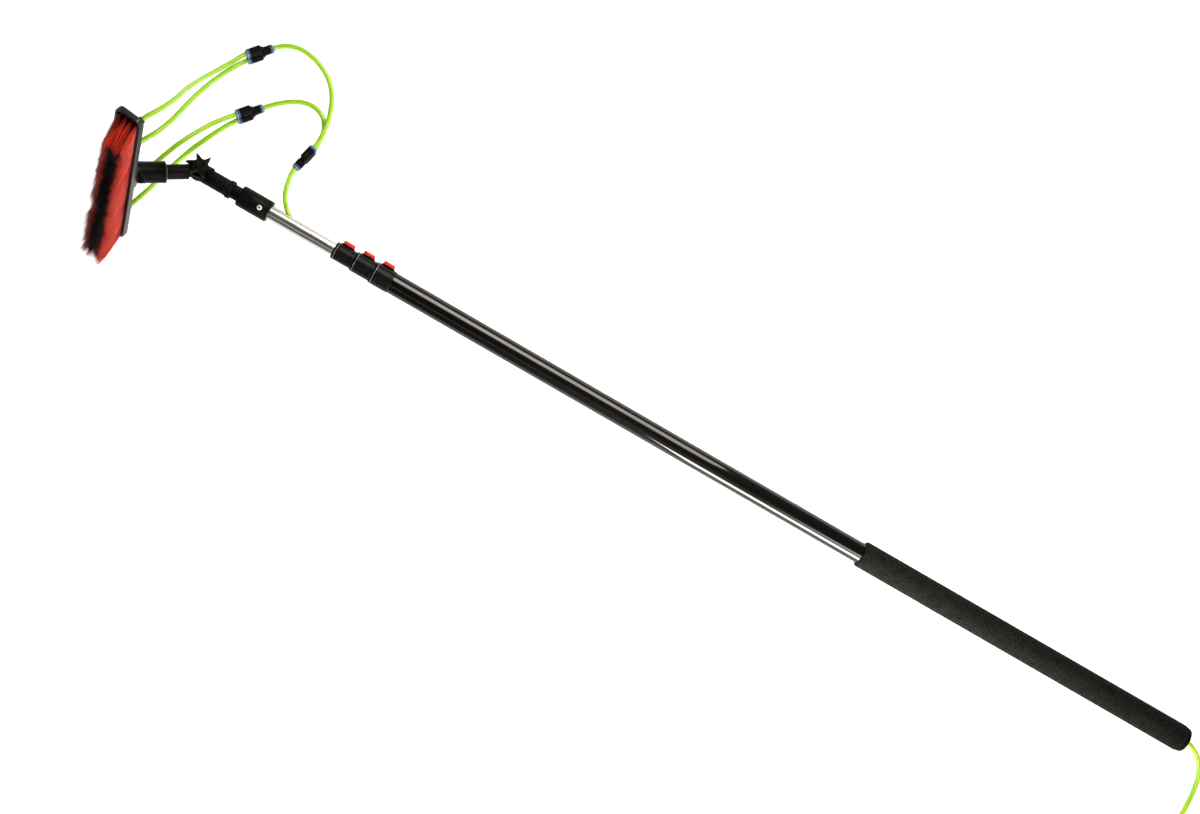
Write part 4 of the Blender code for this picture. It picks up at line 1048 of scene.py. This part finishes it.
# name, place, aim, width and height, watts, degrees of spread, and tint: windows and a strip that draw the
# streaks on the tubes, one that faces the brush, and soft ones for the rest
LIGHTS = (
    ("side_window", (-0.08, 2.02, 1.74), POLE_MIDDLE, (1.30, 1.80), 15, 60, (1.0, 0.93, 0.80)),
    ("silver_window", (-0.88, 1.06, 0.76), (-0.69, 0.09, 0.08), (0.26, 1.00), 0.3, 180, WHITE),
    ("long_strip", (0.20, -1.35, 2.40), POLE_MIDDLE, (3.0, 0.22), 6, 180, WHITE),
    ("low_window", (0.78, -1.75, 0.80), (0.25, 0.09, 0.05), (1.00, 1.10), 16, 50, (1.0, 0.95, 0.85)),
    ("brush_window", (1.10, -0.90, 1.60), (-0.95, 0.00, 0.15), (0.9, 0.9), 30, 180, WHITE),
    ("soft_left", (-2.40, -0.60, 2.60), (-0.3, 0.0, 0.0), (1.8, 1.8), 6, 180, WHITE),
    ("soft_right", (2.40, 0.90, 2.60), (0.3, 0.0, 0.0), (1.8, 1.8), 1.5, 180, WHITE),
)


def area_light(name, at, target, size, power, spread, tint):
    data = bpy.data.lights.new(name, "AREA")
    data.shape = "RECTANGLE"
    data.size, data.size_y = size
    data.energy = power
    data.color = tint
    data.spread = math.radians(spread)
    way = (Vector(target) - Vector(at)).to_track_quat("-Z", "Y")
    placed(name, data, shift(*at) @ way.to_matrix().to_4x4())


def make_stage():
    shape = bmesh.new()
    bmesh.ops.create_grid(shape, x_segments=1, y_segments=1, size=FLOOR_REACH)
    mesh = mesh_of("floor", shape)
    paint = surface("floor_paint", ((0.58, 0.58, 0.58), (0.60, 0.60, 0.60)), (0.85, 0.95), 20, 0.0, patch=2)
    shader = paint.node_tree.nodes["Principled BSDF"]
    shader.inputs["Emission Color"].default_value = (1, 1, 1, 1)
    shader.inputs["Emission Strength"].default_value = FLOOR_GLOW
    mesh.materials.append(paint)
    placed("floor", mesh, shift(0, 0, -FLOOR_DROP))
    make_sky()
    bpy.context.scene.view_settings.view_transform = "Standard"
    for light in LIGHTS:
        area_light(*light)


def make_sky():
    """A studio sky: pale near the horizon, brighter to +Y, and dark overhead."""
    world = bpy.data.worlds.new("studio")
    world.use_nodes = True
    tree = world.node_tree
    way = node(tree, "SeparateXYZ", Vector=node(tree, "TexCoord").outputs["Generated"])
    rise = ramp(tree, way.outputs["Z"], (0.0, (0.20, 0.20, 0.20)), (0.30, (0.15, 0.15, 0.15)),
                (0.55, (0.02, 0.02, 0.02)), (1.0, (0.01, 0.01, 0.01)))
    side = node(tree, "MapRange", Value=way.outputs["Y"], _1=-0.5, _2=0.6, _3=0.55, _4=1.15).outputs[0]
    tree.links.new(rise, tree.nodes["Background"].inputs["Color"])
    tree.links.new(side, tree.nodes["Background"].inputs["Strength"])
    bpy.context.scene.world = world


make_tubes()
for collar in COLLARS:
    make_collar(*collar)
make_grip()
make_socket()
make_hinge()
make_knob()
make_stock()
make_brush_socket()
make_jets()
make_bristles()
for connector_number in CONNECTORS:
    make_connector(connector_number)
make_tail_end()
make_hoses()
make_stage()

# the looks of the CAD nodes, black where none is named
LOOKS = {
    "outer_tube": BLACK_TUBE, "second_tube": BLACK_TUBE, "third_tube": BLACK_TUBE, "top_tube": SILVER,
    "second_bush": NYLON, "third_bush": NYLON, "top_bush": NYLON, "inner_hose": LIME, "foam_grip": FOAM,
    "socket_screw": STEEL, "hinge_bolt": STEEL, "outer_bristles": RED_BRISTLES,
    "inner_bristles": BLACK_BRISTLES,
}
for number in "123":
    LOOKS["button_spring_" + number] = LOOKS["lock_shoe_" + number] = STEEL
    LOOKS["lock_button_" + number] = RED
    LOOKS["clamp_collar_" + number] = SATIN_BLACK
for name, shown in frame["nodes"].items():
    shown.data.materials.clear()
    shown.data.materials.append(LOOKS.get(name, BLACK))
